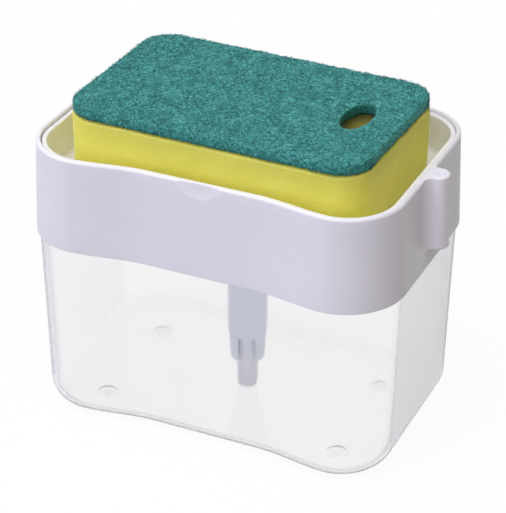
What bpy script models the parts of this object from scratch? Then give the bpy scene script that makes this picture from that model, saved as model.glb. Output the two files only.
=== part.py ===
"""Countertop dish soap dispenser: a clear reservoir, a white collar with a press pump, and a sponge tray.

Metres, +Z up. The origin is on the ground, under the middle of the whole object's length and depth.
The pump's axis is upright and lies a little to the left of the origin, because the lug sticks out on
the right side only. Every piece is built about the pump's axis and hangs from one empty that stands there.
"""

import math

import bpy
import bmesh
import mathutils

# The clear gap between two pieces that touch, and how far a cutter runs past what it cuts
GAP = 0.0003
OVERRUN = 0.001

# How many straight steps a curve gets
LONG_SIDE_STEPS = 12
SHORT_SIDE_STEPS = 4
CORNER_STEPS = 7
EDGE_STEPS = 3
FILLET_STEPS = 5
ROUND_STEPS = 40
SMALL_ROUND_STEPS = 24
BALL_SUBDIVISIONS = 3

# The collar's outline at its rim, seen from above: a rounded rectangle with drawn-in long sides
RIM_LENGTH = 0.135
RIM_DEPTH = 0.0911
CORNER_RADIUS = 0.0209
WAIST = 0.0034
WAIST_FLAT_SHARE = 0.43
WAIST_END_SHARE = 1.05

# The skirt's lower edge above the ground, and the rim and the deck above that edge
SKIRT_HEIGHT = 0.070
COLLAR_HEIGHT = 0.035
DECK_RISE = 0.007

# Collar
COLLAR_WALL = 0.0017
RIM_OUTER_ROUNDING = 0.00115
RIM_INNER_ROUNDING = 0.00045
SKIRT_FLARE = 0.0012
SKIRT_WALL = 0.0018
DECK_THICKNESS = 0.002
WELL_RADIUS = 0.0145
WELL_DEPTH = 0.0065
WELL_WALL = 0.0016
WELL_FLOOR = 0.002
PLUG_WALL = 0.0013
PLUG_DEPTH = 0.0055

# Thumb scoop in the collar's front, under the rim
SCOOP_RADIUS = 0.0103
SCOOP_HEIGHT = 0.0064
SCOOP_DEPTH = 0.0009
SCOOP_CENTRE = 0.0006
SCOOP_STEPS = 6

# Lug on the collar's right side, with a soft root in front and a sharp notch behind
LUG_REACH = 0.00635
LUG_WIDTH = 0.0078
LUG_HEIGHT = 0.0275
LUG_CENTRE = -0.001
LUG_NOSE = 0.0035
LUG_FRONT_FILLET = 0.005
LUG_NOTCH_RADIUS = 0.0012
LUG_ROOT = 0.0009
LUG_TOE = 0.0006
LUG_SINK = 0.0002
LUG_SLOT_LENGTH = 0.0042
LUG_SLOT_WIDTH = 0.0027
LUG_SLOT_DEPTH = 0.001
LUG_SLOT_TURN = math.radians(25)

# Reservoir
RESERVOIR_STEP = 0.0011
RESERVOIR_DRAFT = 0.00146
RESERVOIR_WALL = 0.0016
RESERVOIR_FLOOR = 0.0014
BASE_FILLET = 0.0077
NECK_WALL = 0.0015
NECK_BLEND = 0.0006

# Feet: round pads in shallow pockets under the reservoir
FOOT_RADIUS = 0.0037
FOOT_THICKNESS = 0.0009
FOOT_STAND = 0.0004
FOOT_DIMPLE_RADIUS = 0.0022
FOOT_DIMPLE_DEPTH = 0.0004
FOOT_END_INSET = 0.022
FOOT_FRONT_INSET = 0.01875
FOOT_REAR_INSET = 0.02715
FOOT_SHIFT = 0.001

# Sponge tray
TRAY_CLEARANCE = 0.0006
TRAY_OFFSET = 0.0003
TRAY_WALL = 0.0015
TRAY_DROP = 0.001
TRAY_ROUNDING = 0.0006
TRAY_DEPTH = 0.0135
TRAY_FLOOR = 0.0018
TRAY_DRAFT = 0.0004
TRAY_FILLET = 0.0032
TRAY_RIB_HEIGHT = 0.001
TRAY_RIB_WIDTH = 0.0016
TRAY_RIB_END_INSET = 0.02055
TRAY_RIB_SPACING = 0.014
TRAY_RIB_FIRST = 0.020
TRAY_RIBS_EACH_SIDE = 3

# Boss under the tray that sits on the pump's stem
BOSS_RADIUS = 0.0055
BOSS_DEPTH = 0.005
BOSS_ROOT_RADIUS = 0.010
BOSS_ROOT_DEPTH = 0.0015
BOSS_LEDGE_DEPTH = 0.0007
SOAP_HOLE_RADIUS = 0.0022
SOAP_CHAMBER_RADIUS = 0.006
SOAP_CHAMBER_DEPTH = 0.0005

# Outlet cap, set flush in the tray's floor
CAP_RADIUS = 0.0077
CAP_THICKNESS = 0.0009
CAP_HOLE_RADIUS = 0.00075
CAP_HOLE_CIRCLE = 0.0042
CAP_HOLES = 6

# Pump barrel
BARREL_BORE = 0.0061
FLANGE_RADIUS = 0.013
FLANGE_THICKNESS = 0.0015
THREAD_RADIUS = 0.0082
THREAD_LENGTH = 0.0105
BARREL_TOP_RADIUS = 0.0075
BARREL_BASE_RADIUS = 0.0072
BARREL_LENGTH = 0.0465
SHOULDER_HEIGHT = 0.001
SLEEVE_TOP_RADIUS = 0.0069
SLEEVE_RADIUS = 0.0063
SLEEVE_WALL = 0.0011
SLEEVE_LENGTH = 0.0116
SLOT_WIDTH = 0.0064
SLOT_TURN = math.radians(13)
TUBE_SOCKET_DEPTH = 0.0049
VALVE_THROAT_LENGTH = 0.0009
SEAT_HEIGHT = 0.0016

# Pieces that hold the barrel
GASKET_THICKNESS = 0.001
GASKET_RADIUS = 0.0128
NUT_RADIUS = 0.012
NUT_GRIP_DEPTH = 0.0006
NUT_HEIGHT = 0.006
NUT_GRIPS = 20

# Stem guide
GUIDE_HEAD_RADIUS = 0.0095
GUIDE_HEAD_HEIGHT = 0.0013
GUIDE_LENGTH = 0.005
GUIDE_CLEARANCE = 0.0003

# Stem, piston and spring
STEM_RADIUS = 0.0032
STEM_BORE = 0.0013
STEM_COLLAR_RADIUS = 0.0042
STEM_COLLAR_HEIGHT = 0.0012
STEM_FLANGE_RADIUS = 0.005
STEM_FLANGE_HEIGHT = 0.0012
PISTON_LENGTH = 0.007
PISTON_CLEARANCE = 0.00015
PISTON_LIP = 0.0012
PISTON_LIP_BLEND = 0.0006
PISTON_NECK_RADIUS = 0.0052
SPRING_RADIUS = 0.004
SPRING_WIRE_RADIUS = 0.00045
SPRING_TURNS = 7
SPRING_TURN_STEPS = 10

# Ball valves
INLET_BALL_RADIUS = 0.0025
INLET_THROAT = 0.0016
INLET_SEAT_RADIUS = 0.0031
OUTLET_BALL_RADIUS = 0.0019
OUTLET_CHAMBER_RADIUS = 0.0024
OUTLET_SEAT_HEIGHT = 0.0012
OUTLET_CHAMBER_HEIGHT = 0.0055
OUTLET_LIP_RADIUS = 0.0017
OUTLET_LIP_HEIGHT = 0.0008

# Ball cage
CAGE_RADIUS = 0.0058
CAGE_BORE = 0.003
CAGE_HEIGHT = 0.0057
CAGE_ROOF = 0.001
CAGE_HOLE = 0.0014
CAGE_SLOT_WIDTH = 0.0016
CAGE_SLOT_LENGTH = 0.0088

# Dip tube
TUBE_RADIUS = 0.00385
TUBE_BORE = 0.0025
TUBE_NOTCH_WIDTH = 0.003
TUBE_NOTCH_HEIGHT = 0.0015

# Sponge: foam with an abrasive pad, turned a little in the tray
SPONGE_END_CLEARANCE = 0.01195
SPONGE_SIDE_CLEARANCE = 0.0108
SPONGE_CORNER = 0.0116
SPONGE_TURN = math.radians(-1.32)
SPONGE_SHIFT_X = 0.0008
SPONGE_SHIFT_Y = 0.00015
FOAM_THICKNESS = 0.0227
FOAM_INSET = 0.0006
PAD_THICKNESS = 0.0042
PAD_ROUNDING = 0.0008
HOLE_LENGTH = 0.0206
HOLE_WIDTH = 0.0104
HOLE_END_INSET = 0.01625
HOLE_SHIFT = 0.0013

# Lengths and places that follow from the rim's length and depth
FOOT_REACH_X = RIM_LENGTH / 2 - FOOT_END_INSET
FOOT_REACH_FRONT = RIM_DEPTH / 2 - FOOT_FRONT_INSET
FOOT_REACH_REAR = RIM_DEPTH / 2 - FOOT_REAR_INSET
TRAY_RIB_LENGTH = RIM_DEPTH - 2 * TRAY_RIB_END_INSET
SPONGE_LENGTH = RIM_LENGTH - 2 * SPONGE_END_CLEARANCE
SPONGE_DEPTH = RIM_DEPTH - 2 * SPONGE_SIDE_CLEARANCE
HOLE_REACH = SPONGE_LENGTH / 2 - HOLE_END_INSET

# Heights that follow from the sizes above
RIM_HEIGHT = SKIRT_HEIGHT + COLLAR_HEIGHT
DECK_HEIGHT = SKIRT_HEIGHT + DECK_RISE
DECK_UNDERSIDE = DECK_HEIGHT - DECK_THICKNESS
WELL_FLOOR_TOP = DECK_HEIGHT - WELL_DEPTH
WELL_FLOOR_BASE = WELL_FLOOR_TOP - WELL_FLOOR
SHOULDER_TOP = SKIRT_HEIGHT - GAP
TANK_FLOOR_TOP = FOOT_STAND + RESERVOIR_FLOOR
TRAY_RIM_HEIGHT = RIM_HEIGHT - TRAY_DROP
TRAY_FLOOR_TOP = TRAY_RIM_HEIGHT - TRAY_DEPTH
TRAY_FLOOR_BASE = TRAY_FLOOR_TOP - TRAY_FLOOR
CAP_BASE = TRAY_FLOOR_TOP - CAP_THICKNESS
CAP_SEAT = CAP_BASE - GAP
SOAP_CHAMBER_BASE = CAP_SEAT - SOAP_CHAMBER_DEPTH
STEM_LEDGE = TRAY_FLOOR_BASE - BOSS_LEDGE_DEPTH
STEM_TOP = STEM_LEDGE - GAP
GASKET_BASE = WELL_FLOOR_TOP + GAP
FLANGE_BASE = GASKET_BASE + GASKET_THICKNESS + GAP
FLANGE_TOP = FLANGE_BASE + FLANGE_THICKNESS
GUIDE_HEAD_BASE = FLANGE_TOP + GAP
GUIDE_TOP = GUIDE_HEAD_BASE + GUIDE_HEAD_HEIGHT
GUIDE_BASE = FLANGE_TOP - GUIDE_LENGTH
STEM_COLLAR_TOP = GUIDE_BASE - GAP
STEM_COLLAR_BASE = STEM_COLLAR_TOP - STEM_COLLAR_HEIGHT
PISTON_TOP = STEM_COLLAR_BASE - GAP
PISTON_BASE = PISTON_TOP - PISTON_LENGTH
STEM_FLANGE_TOP = PISTON_BASE - GAP
STEM_BASE = STEM_FLANGE_TOP - STEM_FLANGE_HEIGHT
BARREL_BASE = FLANGE_BASE - BARREL_LENGTH
SOCKET_BASE = BARREL_BASE - SHOULDER_HEIGHT
SLEEVE_BASE = BARREL_BASE - SLEEVE_LENGTH
SOCKET_TOP = SOCKET_BASE + TUBE_SOCKET_DEPTH
INLET_SEAT_BASE = SOCKET_TOP + VALVE_THROAT_LENGTH
INLET_SEAT_TOP = INLET_SEAT_BASE + SEAT_HEIGHT
CAGE_BASE = INLET_SEAT_TOP + GAP
CAGE_TOP = CAGE_BASE + CAGE_HEIGHT
SPRING_BASE = CAGE_TOP + GAP
SPRING_TOP = STEM_BASE - GAP
OUTLET_CHAMBER_TOP = STEM_TOP - OUTLET_LIP_HEIGHT
OUTLET_SEAT_BASE = OUTLET_CHAMBER_TOP - OUTLET_CHAMBER_HEIGHT
OUTLET_SEAT_TOP = OUTLET_SEAT_BASE + OUTLET_SEAT_HEIGHT
FOAM_BASE = TRAY_FLOOR_TOP + TRAY_RIB_HEIGHT + GAP
FOAM_TOP = FOAM_BASE + FOAM_THICKNESS
PAD_BASE = FOAM_TOP + GAP
PAD_TOP = PAD_BASE + PAD_THICKNESS

# Walls, given as insets from the rim's outline
SKIRT_INNER = SKIRT_WALL - SKIRT_FLARE
NECK_OUTER = SKIRT_INNER + GAP
NECK_INNER = NECK_OUTER + NECK_WALL
PLUG_OUTER = NECK_INNER + GAP
PLUG_INNER = PLUG_OUTER + PLUG_WALL
TANK_TOP_INSET = RESERVOIR_STEP - SKIRT_FLARE
TANK_BASE_INSET = TANK_TOP_INSET + RESERVOIR_DRAFT
TRAY_OUTER = COLLAR_WALL + TRAY_CLEARANCE
TRAY_INNER = TRAY_OUTER + TRAY_WALL

# The object's reach to the right and the left of the pump's axis, and the axis's place between them
LUG_FLARE = SKIRT_FLARE * LUG_HEIGHT / COLLAR_HEIGHT
REACH_RIGHT = RIM_LENGTH / 2 + LUG_REACH + LUG_FLARE
REACH_LEFT = RIM_LENGTH / 2 + SKIRT_FLARE
AXIS_X = (REACH_LEFT - REACH_RIGHT) / 2


def clear_scene():
    for thing in list(bpy.data.objects):
        bpy.data.objects.remove(thing)


def arc(centre_x, centre_y, radius_x, radius_y, start, end, steps):
    """Points of an elliptic arc from the start angle to the end angle, both ends included."""
    points = []
    for i in range(steps + 1):
        angle = start + (end - start) * i / steps
        points.append((centre_x + radius_x * math.cos(angle), centre_y + radius_y * math.sin(angle)))
    return points


def waisted_outline(half_length, half_depth, corner, waist, shift_x=0.0):
    """A rounded rectangle, anticlockwise from its lower left side, whose long sides are drawn in."""
    reach_x = half_length - corner
    reach_y = half_depth - corner

    def draw_in(x):
        share = (abs(x) / reach_x - WAIST_FLAT_SHARE) / (WAIST_END_SHARE - WAIST_FLAT_SHARE)
        share = min(max(share, 0.0), 1.0)
        return waist * (1 + math.cos(math.pi * share)) / 2

    quarter = math.pi / 2
    points = []
    for i in range(LONG_SIDE_STEPS):
        points.append((-reach_x + 2 * reach_x * i / LONG_SIDE_STEPS, -half_depth))
    points += arc(reach_x, -reach_y, corner, corner, -quarter, 0, CORNER_STEPS)[:-1]
    for i in range(SHORT_SIDE_STEPS):
        points.append((half_length, -reach_y + 2 * reach_y * i / SHORT_SIDE_STEPS))
    points += arc(reach_x, reach_y, corner, corner, 0, quarter, CORNER_STEPS)[:-1]
    for i in range(LONG_SIDE_STEPS):
        points.append((reach_x - 2 * reach_x * i / LONG_SIDE_STEPS, half_depth))
    points += arc(-reach_x, reach_y, corner, corner, quarter, 2 * quarter, CORNER_STEPS)[:-1]
    for i in range(SHORT_SIDE_STEPS):
        points.append((-half_length, reach_y - 2 * reach_y * i / SHORT_SIDE_STEPS))
    points += arc(-reach_x, -reach_y, corner, corner, 2 * quarter, 3 * quarter, CORNER_STEPS)[:-1]
    drawn = []
    for x, y in points:
        drawn.append((x + shift_x, y - math.copysign(draw_in(x), y)))
    return drawn


def body_outline(inset, shift_x=0.0):
    """The outline that collar, tray and reservoir share, moved in by the inset."""
    return waisted_outline(
        RIM_LENGTH / 2 - inset, RIM_DEPTH / 2 - inset, CORNER_RADIUS - inset, WAIST, shift_x
    )


def circle_beside(outline, radius):
    """A circle about the pump's axis with one point in the direction of each point of the outline."""
    points = []
    for x, y in outline:
        angle = math.atan2(y, x)
        points.append((radius * math.cos(angle), radius * math.sin(angle)))
    return points


def at_height(points, height):
    return [(x, y, height) for x, y in points]


def rounded_top(outer, inner, top, outer_radius, inner_radius):
    """Inset and height of a wall's rounded top edge, from its outer side over to its inner side."""
    quarter = math.pi / 2
    wide = outer_radius
    small = inner_radius
    first = arc(outer + wide, top - wide, -wide, wide, 0, quarter, EDGE_STEPS)
    second = arc(inner - small, top - small, small, small, quarter, 0, EDGE_STEPS)
    return first + second


def new_object(name, mesh, parent, surface):
    thing = bpy.data.objects.new(name, mesh)
    bpy.context.scene.collection.objects.link(thing)
    thing.parent = parent
    if surface is not None:
        thing.data.materials.append(surface)
    return thing


def finish_mesh(name, bm, smooth_angle=math.radians(35)):
    bmesh.ops.recalc_face_normals(bm, faces=bm.faces)
    mesh = bpy.data.meshes.new(name)
    bm.to_mesh(mesh)
    bm.free()
    mesh.shade_smooth()
    mesh.set_sharp_from_angle(angle=smooth_angle)
    return mesh


def loft(name, rings, closed):
    """A solid through rings of equally many points. It closes on itself, or gets a flat cap at each end."""
    bm = bmesh.new()
    loops = []
    for ring in rings:
        loops.append([bm.verts.new(point) for point in ring])
    count = len(loops[0])
    pairs = list(zip(loops, loops[1:]))
    if closed:
        pairs.append((loops[-1], loops[0]))
    else:
        bm.faces.new(loops[0])
        bm.faces.new(loops[-1])
    for low, high in pairs:
        for i in range(count):
            j = (i + 1) % count
            bm.faces.new((low[i], low[j], high[j], high[i]))
    return finish_mesh(name, bm)


def turned(name, profile, steps, closed=True):
    """A solid turned about Z from a profile of (radius, height): a ring, or a disc capped at both ends."""
    rings = []
    for radius, height in profile:
        ring = []
        for i in range(steps):
            angle = 2 * math.pi * i / steps
            ring.append((radius * math.cos(angle), radius * math.sin(angle), height))
        rings.append(ring)
    return loft(name, rings, closed)


def block(name, centre, size, turn=0.0):
    """A box about the centre, turned about Z."""
    bm = bmesh.new()
    bmesh.ops.create_cube(bm, size=1.0)
    cosine = math.cos(turn)
    sine = math.sin(turn)
    for vertex in bm.verts:
        x = vertex.co.x * size[0]
        y = vertex.co.y * size[1]
        vertex.co.x = centre[0] + x * cosine - y * sine
        vertex.co.y = centre[1] + x * sine + y * cosine
        vertex.co.z = centre[2] + vertex.co.z * size[2]
    return finish_mesh(name, bm)


def boolean(target, mesh, operation):
    """Cuts the mesh out of the target, or joins it on."""
    tool = new_object(mesh.name, mesh, target.parent, None)
    tool.location = target.location
    tool.rotation_euler = target.rotation_euler
    tool.hide_render = True
    tool.display_type = "WIRE"
    modifier = target.modifiers.new(mesh.name, "BOOLEAN")
    modifier.operation = operation
    modifier.object = tool
    modifier.solver = "EXACT"


def surface(name, colour, roughness, metallic=0.0, alpha=1.0):
    made = bpy.data.materials.new(name)
    made.use_nodes = True
    shader = made.node_tree.nodes["Principled BSDF"]
    shader.inputs["Base Color"].default_value = (*colour, 1.0)
    shader.inputs["Roughness"].default_value = roughness
    shader.inputs["Metallic"].default_value = metallic
    shader.inputs["Alpha"].default_value = alpha
    return made


def make_reservoir(axis, clear):
    """An open tank: flat base with a wide fillet, drafted walls, and a neck that goes into the collar."""
    quarter = math.pi / 2
    outer_base = TANK_BASE_INSET + BASE_FILLET
    inner_fillet = BASE_FILLET - RESERVOIR_WALL
    inner_base = TANK_BASE_INSET + RESERVOIR_WALL
    neck_top = DECK_UNDERSIDE - GAP
    outside = arc(
        outer_base, FOOT_STAND + BASE_FILLET, -BASE_FILLET, -BASE_FILLET, quarter, 0, FILLET_STEPS
    )
    outside += [(TANK_TOP_INSET, SHOULDER_TOP), (NECK_OUTER, SHOULDER_TOP), (NECK_OUTER, neck_top)]
    inside = [
        (NECK_INNER, neck_top),
        (NECK_INNER, SHOULDER_TOP - NECK_BLEND),
        (TANK_TOP_INSET + RESERVOIR_WALL, SHOULDER_TOP - 2 * NECK_BLEND),
    ]
    inside += arc(
        inner_base + inner_fillet, TANK_FLOOR_TOP + inner_fillet, -inner_fillet, -inner_fillet,
        0, quarter, FILLET_STEPS,
    )
    rings = [at_height(body_outline(inset), height) for inset, height in outside + inside]
    tank = new_object("reservoir", loft("reservoir", rings, closed=False), axis, clear)
    pocket_top = FOOT_THICKNESS + GAP
    pocket_radius = FOOT_RADIUS + GAP
    for name, x, y in foot_places():
        low = FOOT_STAND - OVERRUN
        profile = [(pocket_radius, low), (pocket_radius, pocket_top)]
        pocket = turned("pocket_" + name, profile, SMALL_ROUND_STEPS, closed=False)
        for vertex in pocket.vertices:
            vertex.co.x += x
            vertex.co.y += y
        boolean(tank, pocket, "DIFFERENCE")


def foot_places():
    left = FOOT_SHIFT - FOOT_REACH_X
    right = FOOT_SHIFT + FOOT_REACH_X
    return [
        ("foot_front_left", left, -FOOT_REACH_FRONT),
        ("foot_front_right", right, -FOOT_REACH_FRONT),
        ("foot_rear_left", left, FOOT_REACH_REAR),
        ("foot_rear_right", right, FOOT_REACH_REAR),
    ]


def make_feet(axis, pad_surface):
    """Four round pads with a dimple underneath."""
    profile = [
        (FOOT_DIMPLE_RADIUS, FOOT_DIMPLE_DEPTH),
        (FOOT_DIMPLE_RADIUS, 0),
        (FOOT_RADIUS, 0),
        (FOOT_RADIUS, FOOT_THICKNESS),
    ]
    for name, x, y in foot_places():
        mesh = turned(name, profile, SMALL_ROUND_STEPS, closed=False)
        foot = new_object(name, mesh, axis, pad_surface)
        foot.location = (x, y, 0)


def lug_outline(shift, reach):
    """The lug from above: soft root in front, rounded nose, sharp notch behind, sunk into the wall."""
    wall = RIM_LENGTH / 2 + shift
    front = LUG_CENTRE - LUG_WIDTH / 2
    back = LUG_CENTRE + LUG_WIDTH / 2
    nose = LUG_NOSE * reach / LUG_REACH
    nose_start = wall + reach - nose
    half_turn = math.pi
    points = arc(
        nose_start, front - LUG_FRONT_FILLET, nose_start - wall, LUG_FRONT_FILLET,
        half_turn, half_turn / 2, FILLET_STEPS,
    )
    points += arc(
        nose_start, LUG_CENTRE, nose, LUG_WIDTH / 2,
        -half_turn / 2, half_turn / 2, 2 * FILLET_STEPS,
    )[1:]
    points += arc(
        wall + LUG_NOTCH_RADIUS, back + LUG_NOTCH_RADIUS, LUG_NOTCH_RADIUS, LUG_NOTCH_RADIUS,
        -half_turn / 2, -half_turn, EDGE_STEPS,
    )
    points.append((wall - LUG_ROOT, back + LUG_NOTCH_RADIUS))
    points.append((wall - LUG_ROOT, front - LUG_FRONT_FILLET))
    return points


def make_collar(axis, white):
    """A shell with a rounded rim, a deck with a sunken pump well, and a plug that enters the tank's neck."""
    rim = body_outline(0)
    profile = [(-SKIRT_FLARE, SKIRT_HEIGHT)]
    profile += rounded_top(0, COLLAR_WALL, RIM_HEIGHT, RIM_OUTER_ROUNDING, RIM_INNER_ROUNDING)
    profile.append((COLLAR_WALL, DECK_HEIGHT))
    rings = [at_height(body_outline(inset), height) for inset, height in profile]
    well = [
        (WELL_RADIUS, DECK_HEIGHT),
        (WELL_RADIUS, WELL_FLOOR_TOP),
        (THREAD_RADIUS + GAP, WELL_FLOOR_TOP),
        (THREAD_RADIUS + GAP, WELL_FLOOR_BASE),
        (WELL_RADIUS + WELL_WALL, WELL_FLOOR_BASE),
        (WELL_RADIUS + WELL_WALL, DECK_UNDERSIDE),
    ]
    rings += [at_height(circle_beside(rim, radius), height) for radius, height in well]
    underside = [
        (PLUG_INNER, DECK_UNDERSIDE),
        (PLUG_INNER, DECK_UNDERSIDE - PLUG_DEPTH),
        (PLUG_OUTER, DECK_UNDERSIDE - PLUG_DEPTH),
        (PLUG_OUTER, DECK_UNDERSIDE),
        (SKIRT_INNER, DECK_UNDERSIDE),
        (SKIRT_INNER, SKIRT_HEIGHT),
    ]
    rings += [at_height(body_outline(inset), height) for inset, height in underside]
    shell = new_object("collar", loft("collar", rings, closed=True), axis, white)

    lug_base = RIM_HEIGHT - LUG_HEIGHT
    lug_top = RIM_HEIGHT - LUG_SINK
    lug_rings = [
        at_height(lug_outline(LUG_FLARE, LUG_REACH - LUG_TOE), lug_base),
        at_height(lug_outline(LUG_FLARE, LUG_REACH), lug_base + LUG_TOE),
        at_height(lug_outline(0, LUG_REACH), lug_top),
    ]
    boolean(shell, loft("lug", lug_rings, closed=False), "UNION")
    slot_centre = (RIM_LENGTH / 2 + LUG_REACH / 2, LUG_CENTRE, lug_top)
    slot_size = (LUG_SLOT_LENGTH, LUG_SLOT_WIDTH, 2 * LUG_SLOT_DEPTH)
    boolean(shell, block("lug_slot", slot_centre, slot_size, LUG_SLOT_TURN), "DIFFERENCE")
    boolean(shell, scoop_cutter(), "DIFFERENCE")


def scoop_cutter():
    """A shallow bowl that opens towards the front and leans with the collar's face."""
    lean = math.atan(SKIRT_FLARE / COLLAR_HEIGHT)
    face_y = -(RIM_DEPTH / 2 - WAIST)
    profile = [(SCOOP_RADIUS * math.sqrt(1 + OVERRUN / SCOOP_DEPTH), -OVERRUN)]
    for i in range(SCOOP_STEPS):
        share = 1 - i / SCOOP_STEPS
        profile.append((SCOOP_RADIUS * share, SCOOP_DEPTH * (1 - share * share)))
    mesh = turned("scoop", profile, ROUND_STEPS, closed=False)
    for vertex in mesh.vertices:
        across, up, inward = vertex.co
        vertex.co.x = across + SCOOP_CENTRE
        vertex.co.y = face_y + inward * math.cos(lean) + up * math.sin(lean)
        vertex.co.z = up * math.cos(lean) - inward * math.sin(lean)
        vertex.co.z += RIM_HEIGHT - SCOOP_HEIGHT + SCOOP_RADIUS
    bm = bmesh.new()
    bm.from_mesh(mesh)
    return finish_mesh("scoop", bm)


def make_tray(axis, white):
    """A shallow tray with floor ribs, a seat for the outlet cap, and a boss that sits on the stem."""
    quarter = math.pi / 2
    inner_fillet = TRAY_FILLET - TRAY_WALL
    floor_outer = TRAY_OUTER + TRAY_DRAFT
    floor_inner = TRAY_INNER + TRAY_DRAFT
    walls = rounded_top(TRAY_OUTER, TRAY_INNER, TRAY_RIM_HEIGHT, TRAY_ROUNDING, TRAY_ROUNDING)
    walls += arc(
        floor_inner + inner_fillet, TRAY_FLOOR_TOP + inner_fillet, -inner_fillet, -inner_fillet,
        0, quarter, EDGE_STEPS,
    )
    rings = [at_height(body_outline(inset, TRAY_OFFSET), height) for inset, height in walls]
    centre = [
        (CAP_RADIUS + GAP, TRAY_FLOOR_TOP),
        (CAP_RADIUS + GAP, CAP_SEAT),
        (SOAP_CHAMBER_RADIUS, CAP_SEAT),
        (SOAP_CHAMBER_RADIUS, SOAP_CHAMBER_BASE),
        (SOAP_HOLE_RADIUS, SOAP_CHAMBER_BASE),
        (SOAP_HOLE_RADIUS, STEM_LEDGE),
        (STEM_RADIUS + GAP, STEM_LEDGE),
        (STEM_RADIUS + GAP, TRAY_FLOOR_BASE - BOSS_DEPTH),
        (BOSS_RADIUS, TRAY_FLOOR_BASE - BOSS_DEPTH),
        (BOSS_RADIUS, TRAY_FLOOR_BASE - BOSS_ROOT_DEPTH),
        (BOSS_ROOT_RADIUS, TRAY_FLOOR_BASE - BOSS_ROOT_DEPTH),
        (BOSS_ROOT_RADIUS, TRAY_FLOOR_BASE),
    ]
    around = body_outline(TRAY_OUTER, TRAY_OFFSET)
    rings += [at_height(circle_beside(around, radius), height) for radius, height in centre]
    underside = arc(
        floor_outer + TRAY_FILLET, TRAY_FLOOR_BASE + TRAY_FILLET, -TRAY_FILLET, -TRAY_FILLET,
        quarter, 0, EDGE_STEPS,
    )
    rings += [at_height(body_outline(inset, TRAY_OFFSET), height) for inset, height in underside]
    tray = new_object("sponge_tray", loft("sponge_tray", rings, closed=True), axis, white)
    rib_size = (TRAY_RIB_WIDTH, TRAY_RIB_LENGTH, 2 * TRAY_RIB_HEIGHT)
    for side in (-1, 1):
        for i in range(TRAY_RIBS_EACH_SIDE):
            x = side * (TRAY_RIB_FIRST + i * TRAY_RIB_SPACING)
            rib = block(f"rib_{side}_{i}", (x, 0, TRAY_FLOOR_TOP), rib_size)
            boolean(tray, rib, "UNION")


def make_outlet_cap(axis, white):
    """A thin disc with a ring of soap holes."""
    profile = [(CAP_RADIUS, CAP_BASE), (CAP_RADIUS, TRAY_FLOOR_TOP)]
    disc = turned("outlet_cap", profile, ROUND_STEPS, closed=False)
    cap = new_object("outlet_cap", disc, axis, white)
    drill = [(CAP_HOLE_RADIUS, CAP_BASE - OVERRUN), (CAP_HOLE_RADIUS, TRAY_FLOOR_TOP + OVERRUN)]
    for i in range(CAP_HOLES):
        angle = 2 * math.pi * i / CAP_HOLES
        mesh = turned(f"soap_hole_{i}", drill, 2 * FILLET_STEPS, closed=False)
        for vertex in mesh.vertices:
            vertex.co.x += CAP_HOLE_CIRCLE * math.cos(angle)
            vertex.co.y += CAP_HOLE_CIRCLE * math.sin(angle)
        boolean(cap, mesh, "DIFFERENCE")


def make_barrel(axis, plastic):
    """Flange, threaded neck, tapered cylinder, valve seat, tube socket and a sleeve with two slots."""
    profile = [
        (FLANGE_RADIUS, FLANGE_TOP),
        (FLANGE_RADIUS, FLANGE_BASE),
        (THREAD_RADIUS, FLANGE_BASE),
        (THREAD_RADIUS, FLANGE_BASE - THREAD_LENGTH),
        (BARREL_TOP_RADIUS, FLANGE_BASE - THREAD_LENGTH - SHOULDER_HEIGHT),
        (BARREL_BASE_RADIUS, BARREL_BASE),
        (SLEEVE_TOP_RADIUS, SOCKET_BASE),
        (SLEEVE_RADIUS, SLEEVE_BASE),
        (SLEEVE_RADIUS - SLEEVE_WALL, SLEEVE_BASE),
        (SLEEVE_RADIUS - SLEEVE_WALL, SOCKET_BASE),
        (TUBE_RADIUS + GAP, SOCKET_BASE),
        (TUBE_RADIUS + GAP, SOCKET_TOP),
        (INLET_THROAT, SOCKET_TOP),
        (INLET_THROAT, INLET_SEAT_BASE),
        (INLET_SEAT_RADIUS, INLET_SEAT_TOP),
        (BARREL_BORE, INLET_SEAT_TOP),
        (BARREL_BORE, FLANGE_TOP),
    ]
    barrel = new_object("pump_barrel", turned("pump_barrel", profile, ROUND_STEPS), axis, plastic)
    slot_top = SOCKET_BASE - GAP
    slot_low = SLEEVE_BASE - OVERRUN
    centre = (0, 0, (slot_top + slot_low) / 2)
    size = (SLOT_WIDTH, 2 * (SLEEVE_TOP_RADIUS + OVERRUN), slot_top - slot_low)
    boolean(barrel, block("sleeve_slot", centre, size, SLOT_TURN), "DIFFERENCE")


def make_gasket(axis, rubber):
    top = GASKET_BASE + GASKET_THICKNESS
    bore = THREAD_RADIUS + GAP
    profile = [(bore, GASKET_BASE), (GASKET_RADIUS, GASKET_BASE), (GASKET_RADIUS, top), (bore, top)]
    new_object("pump_gasket", turned("pump_gasket", profile, ROUND_STEPS), axis, rubber)


def make_nut(axis, white):
    """A ring nut under the well, with grip ridges round its rim."""
    top = WELL_FLOOR_BASE - GAP
    base = top - NUT_HEIGHT
    steps = 2 * NUT_GRIPS
    outside = []
    bore = []
    for i in range(steps):
        angle = 2 * math.pi * i / steps
        radius = NUT_RADIUS - NUT_GRIP_DEPTH * (i % 2)
        outside.append((radius * math.cos(angle), radius * math.sin(angle)))
        reach = THREAD_RADIUS + GAP
        bore.append((reach * math.cos(angle), reach * math.sin(angle)))
    rings = [at_height(bore, base), at_height(outside, base), at_height(outside, top), at_height(bore, top)]
    new_object("pump_nut", loft("pump_nut", rings, closed=True), axis, white)


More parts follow.
